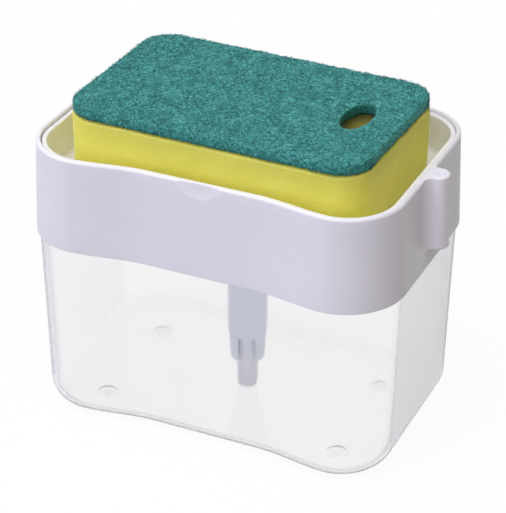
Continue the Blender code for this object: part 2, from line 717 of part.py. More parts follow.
def make_guide(axis, plastic):
    """A headed bush in the barrel's mouth: its bore guides the stem, its lower end stops it."""
    bore = STEM_RADIUS + GUIDE_CLEARANCE
    outside = BARREL_BORE - GAP
    profile = [
        (bore, GUIDE_BASE),
        (outside, GUIDE_BASE),
        (outside, GUIDE_HEAD_BASE),
        (GUIDE_HEAD_RADIUS, GUIDE_HEAD_BASE),
        (GUIDE_HEAD_RADIUS, GUIDE_TOP),
        (bore, GUIDE_TOP),
    ]
    new_object("stem_guide", turned("stem_guide", profile, ROUND_STEPS), axis, plastic)


def make_stem(axis, plastic):
    """A hollow stem: spring flange, piston seat, stop collar, and a ball chamber with a lip at its head."""
    profile = [
        (STEM_BORE, STEM_BASE),
        (STEM_FLANGE_RADIUS, STEM_BASE),
        (STEM_FLANGE_RADIUS, STEM_FLANGE_TOP),
        (STEM_RADIUS, STEM_FLANGE_TOP),
        (STEM_RADIUS, STEM_COLLAR_BASE),
        (STEM_COLLAR_RADIUS, STEM_COLLAR_BASE),
        (STEM_COLLAR_RADIUS, STEM_COLLAR_TOP),
        (STEM_RADIUS, STEM_COLLAR_TOP),
        (STEM_RADIUS, STEM_TOP),
        (OUTLET_LIP_RADIUS, STEM_TOP),
        (OUTLET_LIP_RADIUS, OUTLET_CHAMBER_TOP),
        (OUTLET_CHAMBER_RADIUS, OUTLET_CHAMBER_TOP),
        (OUTLET_CHAMBER_RADIUS, OUTLET_SEAT_TOP),
        (STEM_BORE, OUTLET_SEAT_BASE),
    ]
    new_object("pump_stem", turned("pump_stem", profile, SMALL_ROUND_STEPS), axis, plastic)


def make_piston(axis, soft_plastic):
    """A sleeve on the stem with a sealing lip at each end."""
    bore = STEM_RADIUS + GAP
    lip = BARREL_BORE - PISTON_CLEARANCE
    profile = [
        (bore, PISTON_BASE),
        (lip, PISTON_BASE),
        (lip, PISTON_BASE + PISTON_LIP),
        (PISTON_NECK_RADIUS, PISTON_BASE + PISTON_LIP + PISTON_LIP_BLEND),
        (PISTON_NECK_RADIUS, PISTON_TOP - PISTON_LIP - PISTON_LIP_BLEND),
        (lip, PISTON_TOP - PISTON_LIP),
        (lip, PISTON_TOP),
        (bore, PISTON_TOP),
    ]
    new_object("piston", turned("piston", profile, ROUND_STEPS), axis, soft_plastic)


def make_spring(axis, steel):
    """A coil of round wire between the ball cage and the stem's flange."""
    low = SPRING_BASE + SPRING_WIRE_RADIUS
    high = SPRING_TOP - SPRING_WIRE_RADIUS
    steps = SPRING_TURNS * SPRING_TURN_STEPS
    curve = bpy.data.curves.new("return_spring", "CURVE")
    curve.dimensions = "3D"
    curve.bevel_depth = SPRING_WIRE_RADIUS
    curve.bevel_resolution = 1
    curve.use_fill_caps = True
    spline = curve.splines.new("POLY")
    spline.points.add(steps)
    for i in range(steps + 1):
        angle = 2 * math.pi * i / SPRING_TURN_STEPS
        height = low + (high - low) * i / steps
        spline.points[i].co = (SPRING_RADIUS * math.cos(angle), SPRING_RADIUS * math.sin(angle), height, 1)
    new_object("return_spring", curve, axis, steel)
    points = [mathutils.Vector(point.co[:3]) for point in spline.points]
    gaps = []
    for i, point in enumerate(points):
        for other in points[i + SPRING_TURN_STEPS // 2:]:
            gaps.append((point - other).length - 2 * SPRING_WIRE_RADIUS)
    print(f"least gap between the spring's turns: {min(gaps):.5f} m")


def ball_height(throat, throat_height, seat_radius, seat_height, ball_radius):
    """The height of a ball's centre that leaves the gap between the ball and its conical seat."""
    slope = (seat_radius - throat) / seat_height
    reach = (ball_radius + GAP) * math.sqrt(1 + slope * slope)
    return throat_height + (reach - throat) / slope


def make_ball(name, axis, radius, height, steel):
    bm = bmesh.new()
    bmesh.ops.create_icosphere(bm, subdivisions=BALL_SUBDIVISIONS, radius=radius)
    ball = new_object(name, finish_mesh(name, bm, math.pi), axis, steel)
    ball.location = (0, 0, height)


def make_balls(axis, steel):
    inlet = ball_height(
        INLET_THROAT, INLET_SEAT_BASE, INLET_SEAT_RADIUS, SEAT_HEIGHT, INLET_BALL_RADIUS
    )
    make_ball("inlet_ball", axis, INLET_BALL_RADIUS, inlet, steel)
    outlet = ball_height(
        STEM_BORE, OUTLET_SEAT_BASE, OUTLET_CHAMBER_RADIUS, OUTLET_SEAT_HEIGHT, OUTLET_BALL_RADIUS
    )
    make_ball("outlet_ball", axis, OUTLET_BALL_RADIUS, outlet, steel)


def make_cage(axis, plastic):
    """A cup over the inlet ball, with a crossed slot in its roof so that soap passes the lifted ball."""
    roof = CAGE_TOP - CAGE_ROOF
    profile = [
        (CAGE_BORE, CAGE_BASE),
        (CAGE_RADIUS, CAGE_BASE),
        (CAGE_RADIUS, CAGE_TOP),
        (CAGE_HOLE, CAGE_TOP),
        (CAGE_HOLE, roof),
        (CAGE_BORE, roof),
    ]
    cage = new_object("ball_cage", turned("ball_cage", profile, ROUND_STEPS), axis, plastic)
    size = (CAGE_SLOT_LENGTH, CAGE_SLOT_WIDTH, 2 * CAGE_ROOF)
    centre = (0, 0, CAGE_TOP)
    boolean(cage, block("cage_slot", centre, size), "DIFFERENCE")
    boolean(cage, block("cage_cross_slot", centre, size, math.pi / 2), "DIFFERENCE")


def make_dip_tube(axis, plastic):
    """A tube from the barrel's socket to just above the tank's floor, notched at its foot."""
    base = TANK_FLOOR_TOP + GAP
    top = SOCKET_TOP - GAP
    profile = [(TUBE_BORE, base), (TUBE_RADIUS, base), (TUBE_RADIUS, top), (TUBE_BORE, top)]
    tube = new_object("dip_tube", turned("dip_tube", profile, SMALL_ROUND_STEPS), axis, plastic)
    size = (2 * (TUBE_RADIUS + OVERRUN), TUBE_NOTCH_WIDTH, 2 * TUBE_NOTCH_HEIGHT)
    boolean(tube, block("tube_notch", (0, 0, base), size), "DIFFERENCE")


def sponge_hole(low, high):
    """An upright oval prism, longer across the sponge's depth than along its length."""
    turn = 2 * math.pi
    oval = arc(HOLE_REACH, HOLE_SHIFT, HOLE_WIDTH / 2, HOLE_LENGTH / 2, 0, turn, SMALL_ROUND_STEPS)
    return loft("pad_hole", [at_height(oval[:-1], low), at_height(oval[:-1], high)], closed=False)


def sponge_outline(inset):
    return waisted_outline(
        SPONGE_LENGTH / 2 - inset, SPONGE_DEPTH / 2 - inset, SPONGE_CORNER - inset, 0.0
    )


def make_sponge(axis, foam_surface, pad_surface):
    """A foam block, and an abrasive pad on it with an oval hole down to the foam."""
    foam_rings = [
        at_height(sponge_outline(FOAM_INSET), FOAM_BASE),
        at_height(sponge_outline(FOAM_INSET), FOAM_TOP),
    ]
    foam = new_object("sponge_foam", loft("sponge_foam", foam_rings, closed=False), axis, foam_surface)
    quarter = math.pi / 2
    edge = arc(PAD_ROUNDING, PAD_TOP - PAD_ROUNDING, -PAD_ROUNDING, PAD_ROUNDING, 0, quarter, EDGE_STEPS)
    pad_rings = [at_height(sponge_outline(0), PAD_BASE)]
    pad_rings += [at_height(sponge_outline(inset), height) for inset, height in edge]
    pad = new_object("scouring_pad", loft("scouring_pad", pad_rings, closed=False), axis, pad_surface)
    for piece in (foam, pad):
        piece.location = (SPONGE_SHIFT_X, SPONGE_SHIFT_Y, 0)
        piece.rotation_euler = (0, 0, SPONGE_TURN)
    boolean(pad, sponge_hole(PAD_BASE - OVERRUN, PAD_TOP + OVERRUN), "DIFFERENCE")


def main():
    clear_scene()
    axis = bpy.data.objects.new("pump_axis", None)
    bpy.context.scene.collection.objects.link(axis)
    axis.location = (AXIS_X, 0, 0)

    clear = surface("clear_plastic", (0.93, 0.93, 0.95), 0.12, alpha=0.3)
    pad_clear = surface("clear_rubber", (0.85, 0.86, 0.88), 0.3, alpha=0.5)
    white = surface("white_plastic", (0.86, 0.85, 0.9), 0.25)
    pump_plastic = surface("pump_plastic", (0.72, 0.73, 0.8), 0.4)
    soft_plastic = surface("soft_plastic", (0.82, 0.82, 0.84), 0.5)
    rubber = surface("seal_rubber", (0.2, 0.2, 0.21), 0.7)
    steel = surface("steel", (0.62, 0.62, 0.64), 0.25, metallic=1.0)
    yellow = surface("yellow_foam", (0.66, 0.6, 0.08), 0.95)
    green = surface("green_pad", (0.04, 0.26, 0.2), 0.95)

    make_reservoir(axis, clear)
    make_feet(axis, pad_clear)
    make_collar(axis, white)
    make_gasket(axis, rubber)
    make_barrel(axis, pump_plastic)
    make_nut(axis, white)
    make_guide(axis, white)
    make_stem(axis, white)
    make_piston(axis, soft_plastic)
    make_spring(axis, steel)
    make_cage(axis, pump_plastic)
    make_dip_tube(axis, pump_plastic)
    make_balls(axis, steel)
    make_tray(axis, white)
    make_outlet_cap(axis, white)
    make_sponge(axis, yellow, green)


main()
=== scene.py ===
"""Looks of the countertop soap dispenser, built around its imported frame."""

import math
import random

import bmesh
import bpy
from mathutils import Euler, Matrix, Quaternion, Vector, noise


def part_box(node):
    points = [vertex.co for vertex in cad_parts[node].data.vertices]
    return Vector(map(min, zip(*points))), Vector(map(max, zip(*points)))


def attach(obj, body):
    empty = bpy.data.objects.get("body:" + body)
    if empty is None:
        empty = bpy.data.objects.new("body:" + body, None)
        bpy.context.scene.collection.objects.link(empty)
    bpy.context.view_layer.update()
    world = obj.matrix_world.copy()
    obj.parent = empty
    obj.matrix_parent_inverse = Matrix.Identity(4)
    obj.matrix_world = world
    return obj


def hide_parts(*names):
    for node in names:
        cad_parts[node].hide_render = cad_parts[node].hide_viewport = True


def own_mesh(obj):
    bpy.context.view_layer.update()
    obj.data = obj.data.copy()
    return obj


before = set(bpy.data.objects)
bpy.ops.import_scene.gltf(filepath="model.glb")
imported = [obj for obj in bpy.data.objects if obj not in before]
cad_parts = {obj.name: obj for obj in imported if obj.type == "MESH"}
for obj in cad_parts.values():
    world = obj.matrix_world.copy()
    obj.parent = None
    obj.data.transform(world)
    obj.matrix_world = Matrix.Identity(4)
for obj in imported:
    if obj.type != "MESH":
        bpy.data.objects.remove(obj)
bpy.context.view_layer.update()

SEED = 7
MM = 0.001
QUARTER = math.pi / 2
FULL_TURN = 2 * math.pi
SMOOTH_ANGLE = math.radians(32)
OVERRUN = 1 * MM

# Fits and thicknesses that the heights below need
GAP = 0.3 * MM
COLLAR_HEIGHT = 35 * MM
DECK_DEPTH = 28 * MM
TRAY_THICKNESS = 1.8 * MM
FLANGE_THICKNESS = 1.5 * MM


def heights(node):
    """Lowest and highest point of a CAD node."""
    return [corner.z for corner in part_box(node)]


# Where the pump stands, and the heights that the frame gives
AXIS_X = sum(corner.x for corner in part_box("pump_barrel")) / 2
TANK_BASE, NECK_TOP = heights("reservoir")
RIM_HEIGHT = heights("collar")[1]
SKIRT_HEIGHT = RIM_HEIGHT - COLLAR_HEIGHT
DECK_HEIGHT = RIM_HEIGHT - DECK_DEPTH
DECK_UNDERSIDE = NECK_TOP + GAP
TRAY_FLOOR = heights("outlet_cap")[1]
TRAY_UNDERSIDE = TRAY_FLOOR - TRAY_THICKNESS
STEM_TOP = heights("pump_stem")[1]
SLEEVE_BASE, FLANGE_TOP = heights("pump_barrel")
FLANGE_BASE = FLANGE_TOP - FLANGE_THICKNESS
TUBE_BASE, TUBE_TOP = heights("dip_tube")
FOAM_BASE, FOAM_TOP = heights("sponge_foam")
PAD_BASE, PAD_TOP = heights("scouring_pad")

# The outline that collar, tray and reservoir share
RIM_LENGTH = 135 * MM
RIM_DEPTH = 91.1 * MM
CORNER_RADIUS = 20.9 * MM
WAIST = 3.4 * MM
WAIST_FLAT_SHARE = 0.43
WAIST_END_SHARE = 1.05

# The pad's hole, from the middle of the sponge
HOLE_PLACE = (39.1 * MM, 1.45 * MM)
HOLE_LENGTH = 20.7 * MM
HOLE_WIDTH = 10.1 * MM

# Steps of a smooth curve
LONG_SIDE_STEPS = 144
SHORT_SIDE_STEPS = 28
CORNER_STEPS = 44
EDGE_STEPS = 6
FILLET_STEPS = 20
ROUND_STEPS = 96
WALL_ROWS = 28
EDGE_ROW_SHARE = 0.004


def arc(centre_x, centre_y, radius_x, radius_y, start, end, steps):
    """Points of an elliptic arc, both ends included."""
    points = []
    for i in range(steps + 1):
        angle = start + (end - start) * i / steps
        points.append((centre_x + radius_x * math.cos(angle), centre_y + radius_y * math.sin(angle)))
    return points


def oval(centre_x, centre_y, radius_x, radius_y, steps=ROUND_STEPS):
    """Points of a whole ellipse."""
    return arc(centre_x, centre_y, radius_x, radius_y, 0, FULL_TURN, steps)[:-1]


def rounded_outline(half_length, half_depth, corner, waist=0.0, shift_x=0.0):
    """A rounded rectangle, anticlockwise, whose long sides are drawn in by the waist."""
    reach_x = half_length - corner
    reach_y = half_depth - corner
    points = []
    for side in (-1, 1):
        far_x, far_y = -side * reach_x, side * reach_y
        start = side * QUARTER
        for i in range(LONG_SIDE_STEPS):
            points.append((side * (reach_x - 2 * reach_x * i / LONG_SIDE_STEPS), side * half_depth))
        points += arc(far_x, far_y, corner, corner, start, start + QUARTER, CORNER_STEPS)[:-1]
        for i in range(SHORT_SIDE_STEPS):
            points.append((-side * half_length, side * (reach_y - 2 * reach_y * i / SHORT_SIDE_STEPS)))
        start += QUARTER
        points += arc(far_x, -far_y, corner, corner, start, start + QUARTER, CORNER_STEPS)[:-1]
    drawn = []
    for x, y in points:
        share = (abs(x) / reach_x - WAIST_FLAT_SHARE) / (WAIST_END_SHARE - WAIST_FLAT_SHARE)
        share = min(max(share, 0.0), 1.0)
        drawn_in = waist * (1 + math.cos(math.pi * share)) / 2
        drawn.append((x + shift_x, y - math.copysign(drawn_in, y)))
    return drawn


def body_outline(inset, shift_x=0.0):
    """The outline that collar, tray and reservoir share, moved in by the inset."""
    return rounded_outline(
        RIM_LENGTH / 2 - inset, RIM_DEPTH / 2 - inset, CORNER_RADIUS - inset, WAIST, shift_x
    )


def at_height(points, height):
    return [(x, y, height) for x, y in points]


def sharpened(mesh):
    """The mesh shaded smooth, with its edges sharp where its faces turn by more than the smooth angle."""
    mesh.shade_smooth()
    mesh.set_sharp_from_angle(angle=SMOOTH_ANGLE)
    return mesh


def mesh_from(name, bm):
    bmesh.ops.recalc_face_normals(bm, faces=bm.faces)
    mesh = bpy.data.meshes.new(name)
    bm.to_mesh(mesh)
    bm.free()
    return sharpened(mesh)


def loft(name, rings, closed):
    """A solid through rings of equally many points, closed on itself or capped at both ends."""
    bm = bmesh.new()
    loops = [[bm.verts.new(point) for point in ring] for ring in rings]
    count = len(loops[0])
    pairs = list(zip(loops, loops[1:]))
    if closed:
        pairs.append((loops[-1], loops[0]))
    else:
        bm.faces.new(loops[0])
        bm.faces.new(loops[-1])
    for low, high in pairs:
        for i in range(count):
            j = (i + 1) % count
            bm.faces.new((low[i], low[j], high[j], high[i]))
    return mesh_from(name, bm)


def turned(name, profile, closed=True):
    """A solid turned about Z from (radius, height) pairs."""
    return loft(name, [at_height(oval(0, 0, radius, radius), height) for radius, height in profile], closed)


def prism(name, outline, low, high):
    """A solid of one outline between two heights."""
    return loft(name, [at_height(outline, low), at_height(outline, high)], closed=False)


def block(name, centre, size, turn=0.0):
    """A box about its centre, turned about Z."""
    bm = bmesh.new()
    bmesh.ops.create_cube(bm, size=1.0, matrix=Matrix.LocRotScale(centre, Euler((0, 0, turn)), size))
    return mesh_from(name, bm)


def wall_between(low, high, rows):
    """Points of a straight wall, both ends included, with a close row beside each end to keep it flat."""
    shares = [0.0, EDGE_ROW_SHARE]
    shares += [i / rows for i in range(1, rows)]
    shares += [1 - EDGE_ROW_SHARE, 1.0]
    return [(low[0] + (high[0] - low[0]) * s, low[1] + (high[1] - low[1]) * s) for s in shares]


def rounded_top(outer, inner, top, wide, small, steps=EDGE_STEPS):
    """Inset and height of a wall's top edge, with a wide rounding outside and a small one inside."""
    first = arc(outer + wide, top - wide, -wide, wide, 0, QUARTER, steps)
    return first + arc(inner - small, top - small, small, small, QUARTER, 0, EDGE_STEPS)


def rings_of(profile, shift_x=0.0):
    return [at_height(body_outline(inset, shift_x), height) for inset, height in profile]


def circles_of(profile, outline):
    """Circles about the pump's axis, with a point in the direction of each point of the outline."""
    angles = [math.atan2(y, x) for x, y in outline]
    rings = []
    for radius, height in profile:
        rings.append([(radius * math.cos(angle), radius * math.sin(angle), height) for angle in angles])
    return rings


def placed(name, data):
    """A new object in the scene that holds the data."""
    thing = bpy.data.objects.new(name, data)
    bpy.context.scene.collection.objects.link(thing)
    return thing


def applied_boolean(mesh, cutter, operation):
    """The mesh after a Boolean with the cutter, as a new mesh."""
    body = placed("boolean_body", mesh)
    tool = placed("boolean_tool", cutter)
    modifier = body.modifiers.new("boolean", "BOOLEAN")
    modifier.operation = operation
    modifier.object = tool
    modifier.solver = "EXACT"
    made = evaluated_mesh(body, mesh.name)
    bpy.data.objects.remove(body)
    bpy.data.objects.remove(tool)
    return made


def evaluated_mesh(thing, name):
    graph = bpy.context.evaluated_depsgraph_get()
    made = bpy.data.meshes.new_from_object(thing.evaluated_get(graph), depsgraph=graph)
    made.name = name
    return made


def piece(name, mesh, body, material, replaced, location=(AXIS_X, 0, 0), turn=0.0):
    """A shown piece that rides on a body in place of a CAD node, by default about the pump's axis."""
    thing = placed(name, mesh)
    thing.location = location
    thing.rotation_euler = (0, 0, turn)
    mesh.materials.clear()
    mesh.materials.append(material)
    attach(thing, body)
    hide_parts(replaced)
    return thing


# Where noise lies for the most part, and a tint that changes nothing
NOISE_LOW = 0.3
NOISE_HIGH = 0.7
NO_TINT = (1.0, 1.0, 1.0)


def new_node(tree, kind, values=None, **settings):
    """A new shader node, such as a TexNoise, with its settings and the values of its sockets."""
    node = tree.nodes.new("ShaderNode" + kind)
    for key, value in settings.items():
        setattr(node, key, value)
    for socket, value in (values or {}).items():
        node.inputs[socket].default_value = value
    return node


def fed(tree, kind, *sources, **settings):
    """A new shader node whose sockets, in their order, take values or other nodes' outputs."""
    node = new_node(tree, kind, **settings)
    for source, socket in zip(sources, node.inputs):
        if isinstance(source, bpy.types.NodeSocket):
            tree.links.new(source, socket)
        else:
            socket.default_value = source
    return node


class Nodes:
    """A material's node tree, with short calls for what the materials below need."""

    def __init__(self, name):
        self.material = bpy.data.materials.new(name)
        self.material.use_nodes = True
        self.tree = self.material.node_tree
        self.shader = self.tree.nodes["Principled BSDF"]
        self.place = self.new("TexCoord").outputs["Object"]

    def new(self, kind, values=None, **settings):
        return new_node(self.tree, kind, values, **settings)

    def set(self, **values):
        """Sets the shader's sockets; an underscore stands for a space."""
        for key, value in values.items():
            self.shader.inputs[key.replace("_", " ")].default_value = value

    def noise(self, scale, detail=3.0, roughness=0.5, place=None):
        """Noise of so many waves per metre over the object, or over another place vector."""
        node = self.new("TexNoise", {"Scale": scale, "Detail": detail, "Roughness": roughness})
        self.link(self.place if place is None else place, node.inputs["Vector"])
        return node.outputs["Fac"]

    def cells(self, scale):
        node = self.new("TexVoronoi", {"Scale": scale})
        self.link(self.place, node.inputs["Vector"])
        return node.outputs["Distance"]

    def ramp(self, factor, *stops):
        """A colour ramp through (position, colour) stops."""
        node = self.new("ValToRGB")
        elements = node.color_ramp.elements
        while len(elements) < len(stops):
            elements.new(0.5)
        for element, (position, colour) in zip(elements, stops):
            element.position = position
            element.color = (*colour, 1.0)
        self.link(factor, node.inputs["Fac"])
        return node.outputs["Color"]

    def spread(self, value, low, high, source_low=NOISE_LOW, source_high=NOISE_HIGH):
        """The value's range between the two source values, mapped to low and high."""
        node = self.new("MapRange", {
            "From Min": source_low, "From Max": source_high, "To Min": low, "To Max": high,
        })
        self.link(value, node.inputs["Value"])
        return node.outputs["Result"]

    def math(self, operation, first, second):
        return fed(self.tree, "Math", first, second, operation=operation).outputs["Value"]

    def vector(self, operation, *sources):
        return fed(self.tree, "VectorMath", *sources, operation=operation)

    def tinted(self, colour, by, factor=1.0, blend="MULTIPLY"):
        """The colour multiplied by another colour, or blended with it in another way."""
        mix = self.new("Mix", data_type="RGBA", blend_type=blend)
        mix.inputs["Factor"].default_value = factor
        self.link(colour, mix.inputs["A"])
        self.link(by, mix.inputs["B"])
        return mix.outputs["Result"]

    def bump(self, height, strength, distance):
        node = self.new("Bump", {"Strength": strength, "Distance": distance})
        self.link(height, node.inputs["Height"])
        return node.outputs["Normal"]

    def link(self, output, target):
        if isinstance(target, str):
            target = self.shader.inputs[target]
        self.tree.links.new(output, target)


# Moulded plastic: scales in waves per metre
MOTTLE_SCALE = 38.0
MOTTLE_REACH = (0.35, 0.65)
POLISH_SCALE = 160.0
POLISH_SHARE = 0.15
GRAIN_SCALE = 2600.0
GRAIN_STRENGTH = 0.02
GRAIN_DEPTH = 0.02 * MM

# White plastic: how strongly and how deep light goes in
WHITE_ROUGHNESS = 0.34
WHITE_GLOW = 0.3
WHITE_GLOW_TINT = (1.0, 0.95, 0.9)
WHITE_GLOW_DEPTH = 3 * MM


def plastic(name, dark, light, roughness):
    """Moulded plastic: a faint mottle, a roughness that varies, and a fine moulded grain."""
    made = Nodes(name)
    mottle = made.noise(MOTTLE_SCALE, 4.0)
    made.link(made.ramp(mottle, (MOTTLE_REACH[0], dark), (MOTTLE_REACH[1], light)), "Base Color")
    smooth, rough = roughness * (1 - POLISH_SHARE), roughness * (1 + POLISH_SHARE)
    made.link(made.spread(made.noise(POLISH_SCALE), smooth, rough), "Roughness")
    made.link(made.bump(made.noise(GRAIN_SCALE, 2.0), GRAIN_STRENGTH, GRAIN_DEPTH), "Normal")
    return made


def white_plastic(name, dark, light):
    """Plastic that light enters a little way."""
    made = plastic(name, dark, light, WHITE_ROUGHNESS)
    made.set(Subsurface_Weight=WHITE_GLOW, Subsurface_Radius=WHITE_GLOW_TINT)
    made.set(Subsurface_Scale=WHITE_GLOW_DEPTH)
    return made.material


# Clear plastic: a slightly absorbing wall, milky where it is seen along its length
CLEAR_IOR = 1.42
CLEAR_GLOSS = 0.9
CLEAR_TRANSMISSION = 0.98
CLEAR_GRAZING = (0.45, 1.0)
CLEAR_GRAZING_HAZE = 0.46
CLEAR_GRAZING_TINT = (0.86, 0.86, 0.97)
CLEAR_MOTTLE_SCALE = 30.0
CLEAR_MOTTLE_TINT = (0.985, 0.985, 0.985)
CLEAR_ROUGHNESS = 0.07
CLEAR_EDGE_ROUGHNESS = 0.22
CLEAR_EDGE_REACH = (0.02, 0.25)
CLEAR_ABSORPTION = 15.0
CLEAR_TINT = (0.333, 0.305, 0.40)


def clear_plastic():
    """A clear moulded wall with a milky haze at grazing angles, rougher in its rounded edges."""
    made = Nodes("clear_plastic")
    made.set(IOR=CLEAR_IOR, Specular_IOR_Level=CLEAR_GLOSS)
    grazing = made.spread(made.new("LayerWeight").outputs["Facing"], 0.0, 1.0, *CLEAR_GRAZING)
    grazing.node.interpolation_type = "SMOOTHSTEP"
    mottle = made.noise(CLEAR_MOTTLE_SCALE)
    mottle = made.ramp(mottle, (NOISE_LOW, CLEAR_MOTTLE_TINT), (NOISE_HIGH, NO_TINT))
    tint = made.ramp(grazing, (0.0, NO_TINT), (1.0, CLEAR_GRAZING_TINT))
    made.link(made.tinted(mottle, tint), "Base Color")
    loss = made.math("MULTIPLY", grazing, CLEAR_GRAZING_HAZE)
    made.link(made.math("SUBTRACT", CLEAR_TRANSMISSION, loss), "Transmission Weight")
    upright = made.new("SeparateXYZ")
    made.link(made.new("NewGeometry").outputs["Normal"], upright.inputs["Vector"])
    squared = made.math("MULTIPLY", upright.outputs["Z"], upright.outputs["Z"])
    slanted = made.math("MULTIPLY", squared, made.math("SUBTRACT", 1.0, squared))
    edge = made.spread(slanted, CLEAR_ROUGHNESS, CLEAR_EDGE_ROUGHNESS, *CLEAR_EDGE_REACH)
    along_wall = made.math("MULTIPLY", grazing, CLEAR_EDGE_ROUGHNESS)
    made.link(made.math("ADD", edge, along_wall), "Roughness")
    absorb = made.new("VolumeAbsorption", {"Color": (*CLEAR_TINT, 1), "Density": CLEAR_ABSORPTION})
    made.link(absorb.outputs["Volume"], made.tree.nodes["Material Output"].inputs["Volume"])
    return made.material


# Foam: its colours, its pores with their painted shade, and how strongly and how deep light goes in
FOAM_DARK = (0.78, 0.73, 0.11)
FOAM_LIGHT = (0.84, 0.79, 0.135)
FOAM_MOTTLE_SCALE = 90.0
FOAM_GLOW = 0.6
FOAM_GLOW_TINT = (1.0, 0.9, 0.25)
FOAM_GLOW_DEPTH = 20 * MM
FOAM_SHEEN = (1.0, 0.95, 0.4, 1.0)
PORE_SCALE = 1900.0
PORE_DEPTH = 0.2 * MM
PORE_SHADE = (0.80, 0.78, 0.65)
PORE_SHADE_SHARE = 0.35

# Shade in the pad's hole; each reach is in shares of the hole's radius from its middle
HOLE_FOAM_SHADE = (0.23, 0.21, 0.09)
HOLE_WALL_SHADE = (0.42, 0.55, 0.52)
HOLE_SHADE_REACH = (1.0, 1.07)
HOLE_LIT_PLACE = (1.6 * MM, -1.2 * MM)
HOLE_LIT_REACH = (0.35, 1.15)
HOLE_DARK = (0.24, 0.28, 0.30)
HOLE_DARK_REACH = (1.5, 1.6)

# Fibres: tones along a fibre, patches, lighter and darker strands, and the shade low on the pad's side
FIBRE_TONES = ((0.30, (0.017, 0.158, 0.143)), (0.5, (0.045, 0.287, 0.261)), (0.70, (0.162, 0.53, 0.475)))
FIBRE_SCALE = 1500.0
FIBRE_DEPTH = 0.2 * MM
PATCH_SCALE = 420.0
PATCH_DARK = (0.72, 0.82, 0.82)
PATCH_LIGHT = (1.24, 1.11, 1.11)
PATCH_SHARE = 0.8
FLECK_LIGHT = 1.7
FLECK_SHARE = (0.80, 0.90)
FLECK_DARK = 0.55
FLECK_DARK_SHARE = (0.10, 0.20)
PAD_SIDE_SHADE = (0.42, 0.58, 0.52)
PAD_SIDE_REACH = (0.2 * MM, 1.4 * MM)


def hole_distance(made, shift=(0, 0)):
    """How far a point is from the middle of the pad's hole, one at its edge; the shift moves the middle."""
    middle = (HOLE_PLACE[0] + shift[0], HOLE_PLACE[1] + shift[1], 0)
    from_hole = made.vector("SUBTRACT", made.place, middle)
    scaled = made.vector("MULTIPLY", from_hole.outputs["Vector"], (2 / HOLE_WIDTH, 2 / HOLE_LENGTH, 0))
    return made.vector("LENGTH", scaled.outputs["Vector"]).outputs["Value"]


def hole_shade(made, tone, shade):
    """The tone, darker by the shade inside the outline of the pad's hole."""
    outside = made.spread(hole_distance(made), 0.0, 1.0, *HOLE_SHADE_REACH)
    return made.tinted(tone, made.ramp(outside, (0.0, shade), (1.0, NO_TINT)))


def hole_floor_shade(made, tone):
    """The tone, darker toward the far walls of the pad's hole, where less light reaches its floor."""
    distance = hole_distance(made, HOLE_LIT_PLACE)
    unlit = made.spread(distance, 0.0, 1.0, *HOLE_LIT_REACH)
    beyond = made.spread(distance, 0.0, 1.0, *HOLE_DARK_REACH)
    dark = made.ramp(unlit, (0.0, NO_TINT), (1.0, HOLE_DARK))
    outside = made.ramp(beyond, (0.0, (0, 0, 0)), (1.0, NO_TINT))
    return made.tinted(tone, made.tinted(dark, outside, blend="LIGHTEN"))


def foam():
    """Open-cell foam: small pores with painted shade in a bright yellow body, and painted shade on the
    floor of the pad's hole.
    """
    made = Nodes("yellow_foam")
    made.set(Roughness=0.95, Specular_IOR_Level=0.15)
    made.set(Sheen_Weight=0.5, Sheen_Roughness=0.5, Sheen_Tint=FOAM_SHEEN)
    made.set(Subsurface_Weight=FOAM_GLOW, Subsurface_Radius=FOAM_GLOW_TINT)
    made.set(Subsurface_Scale=FOAM_GLOW_DEPTH)
    mottle = made.noise(FOAM_MOTTLE_SCALE, 4.0)
    tone = made.ramp(mottle, (NOISE_LOW, FOAM_DARK), (NOISE_HIGH, FOAM_LIGHT))
    pores = made.cells(PORE_SCALE)
    # Painted shade in the pores: the foam is darker where the cell noise marks a pore.
    tone = made.tinted(tone, made.ramp(pores, (0.1, PORE_SHADE), (0.4, NO_TINT)), PORE_SHADE_SHARE)
    made.link(hole_floor_shade(made, hole_shade(made, tone, HOLE_FOAM_SHADE)), "Base Color")
    made.link(made.bump(pores, 0.25, PORE_DEPTH), "Normal")
    return made.material


def fibre():
    """Fine green fibres whose tone changes along each, darker low on the pad and in its hole."""
    made = Nodes("green_fibre")
    made.set(Specular_IOR_Level=0.2, Sheen_Weight=0.05, Sheen_Roughness=0.4)
    fine = made.noise(FIBRE_SCALE, 2.0, 0.6)
    patches = made.ramp(made.noise(PATCH_SCALE), (NOISE_LOW, PATCH_DARK), (NOISE_HIGH, PATCH_LIGHT))
    tone = made.tinted(made.ramp(fine, *FIBRE_TONES), patches, PATCH_SHARE)
    strand = made.new("NewGeometry").outputs["Random Per Island"]
    tone = made.tinted(tone, made.spread(strand, 1.0, FLECK_LIGHT, *FLECK_SHARE))
    tone = made.tinted(tone, made.spread(strand, FLECK_DARK, 1.0, *FLECK_DARK_SHARE))
    place = made.new("SeparateXYZ")
    made.link(made.place, place.inputs["Vector"])
    low, high = PAD_BASE + PAD_SIDE_REACH[0], PAD_BASE + PAD_SIDE_REACH[1]
    height = made.spread(place.outputs["Z"], 0.0, 1.0, low, high)
    tone = made.tinted(tone, made.ramp(height, (0.0, PAD_SIDE_SHADE), (1.0, NO_TINT)))
    made.link(hole_shade(made, tone, HOLE_WALL_SHADE), "Base Color")
    made.link(made.spread(fine, 0.45, 0.75), "Roughness")
    made.link(made.bump(fine, 0.5, FIBRE_DEPTH), "Normal")
    return made.material


# Rubber and drawn steel
RUBBER_MOTTLE_SCALE = 300.0
RUBBER_POLISH_SCALE = 500.0
RUBBER_GRAIN_SCALE = 1500.0
RUBBER_GRAIN_DEPTH = 0.05 * MM
STEEL_SCALE = 400.0
STEEL_STRETCH = (1.0, 1.0, 6.0)
STEEL_DARK = (0.52, 0.52, 0.54)
STEEL_LIGHT = (0.70, 0.70, 0.72)


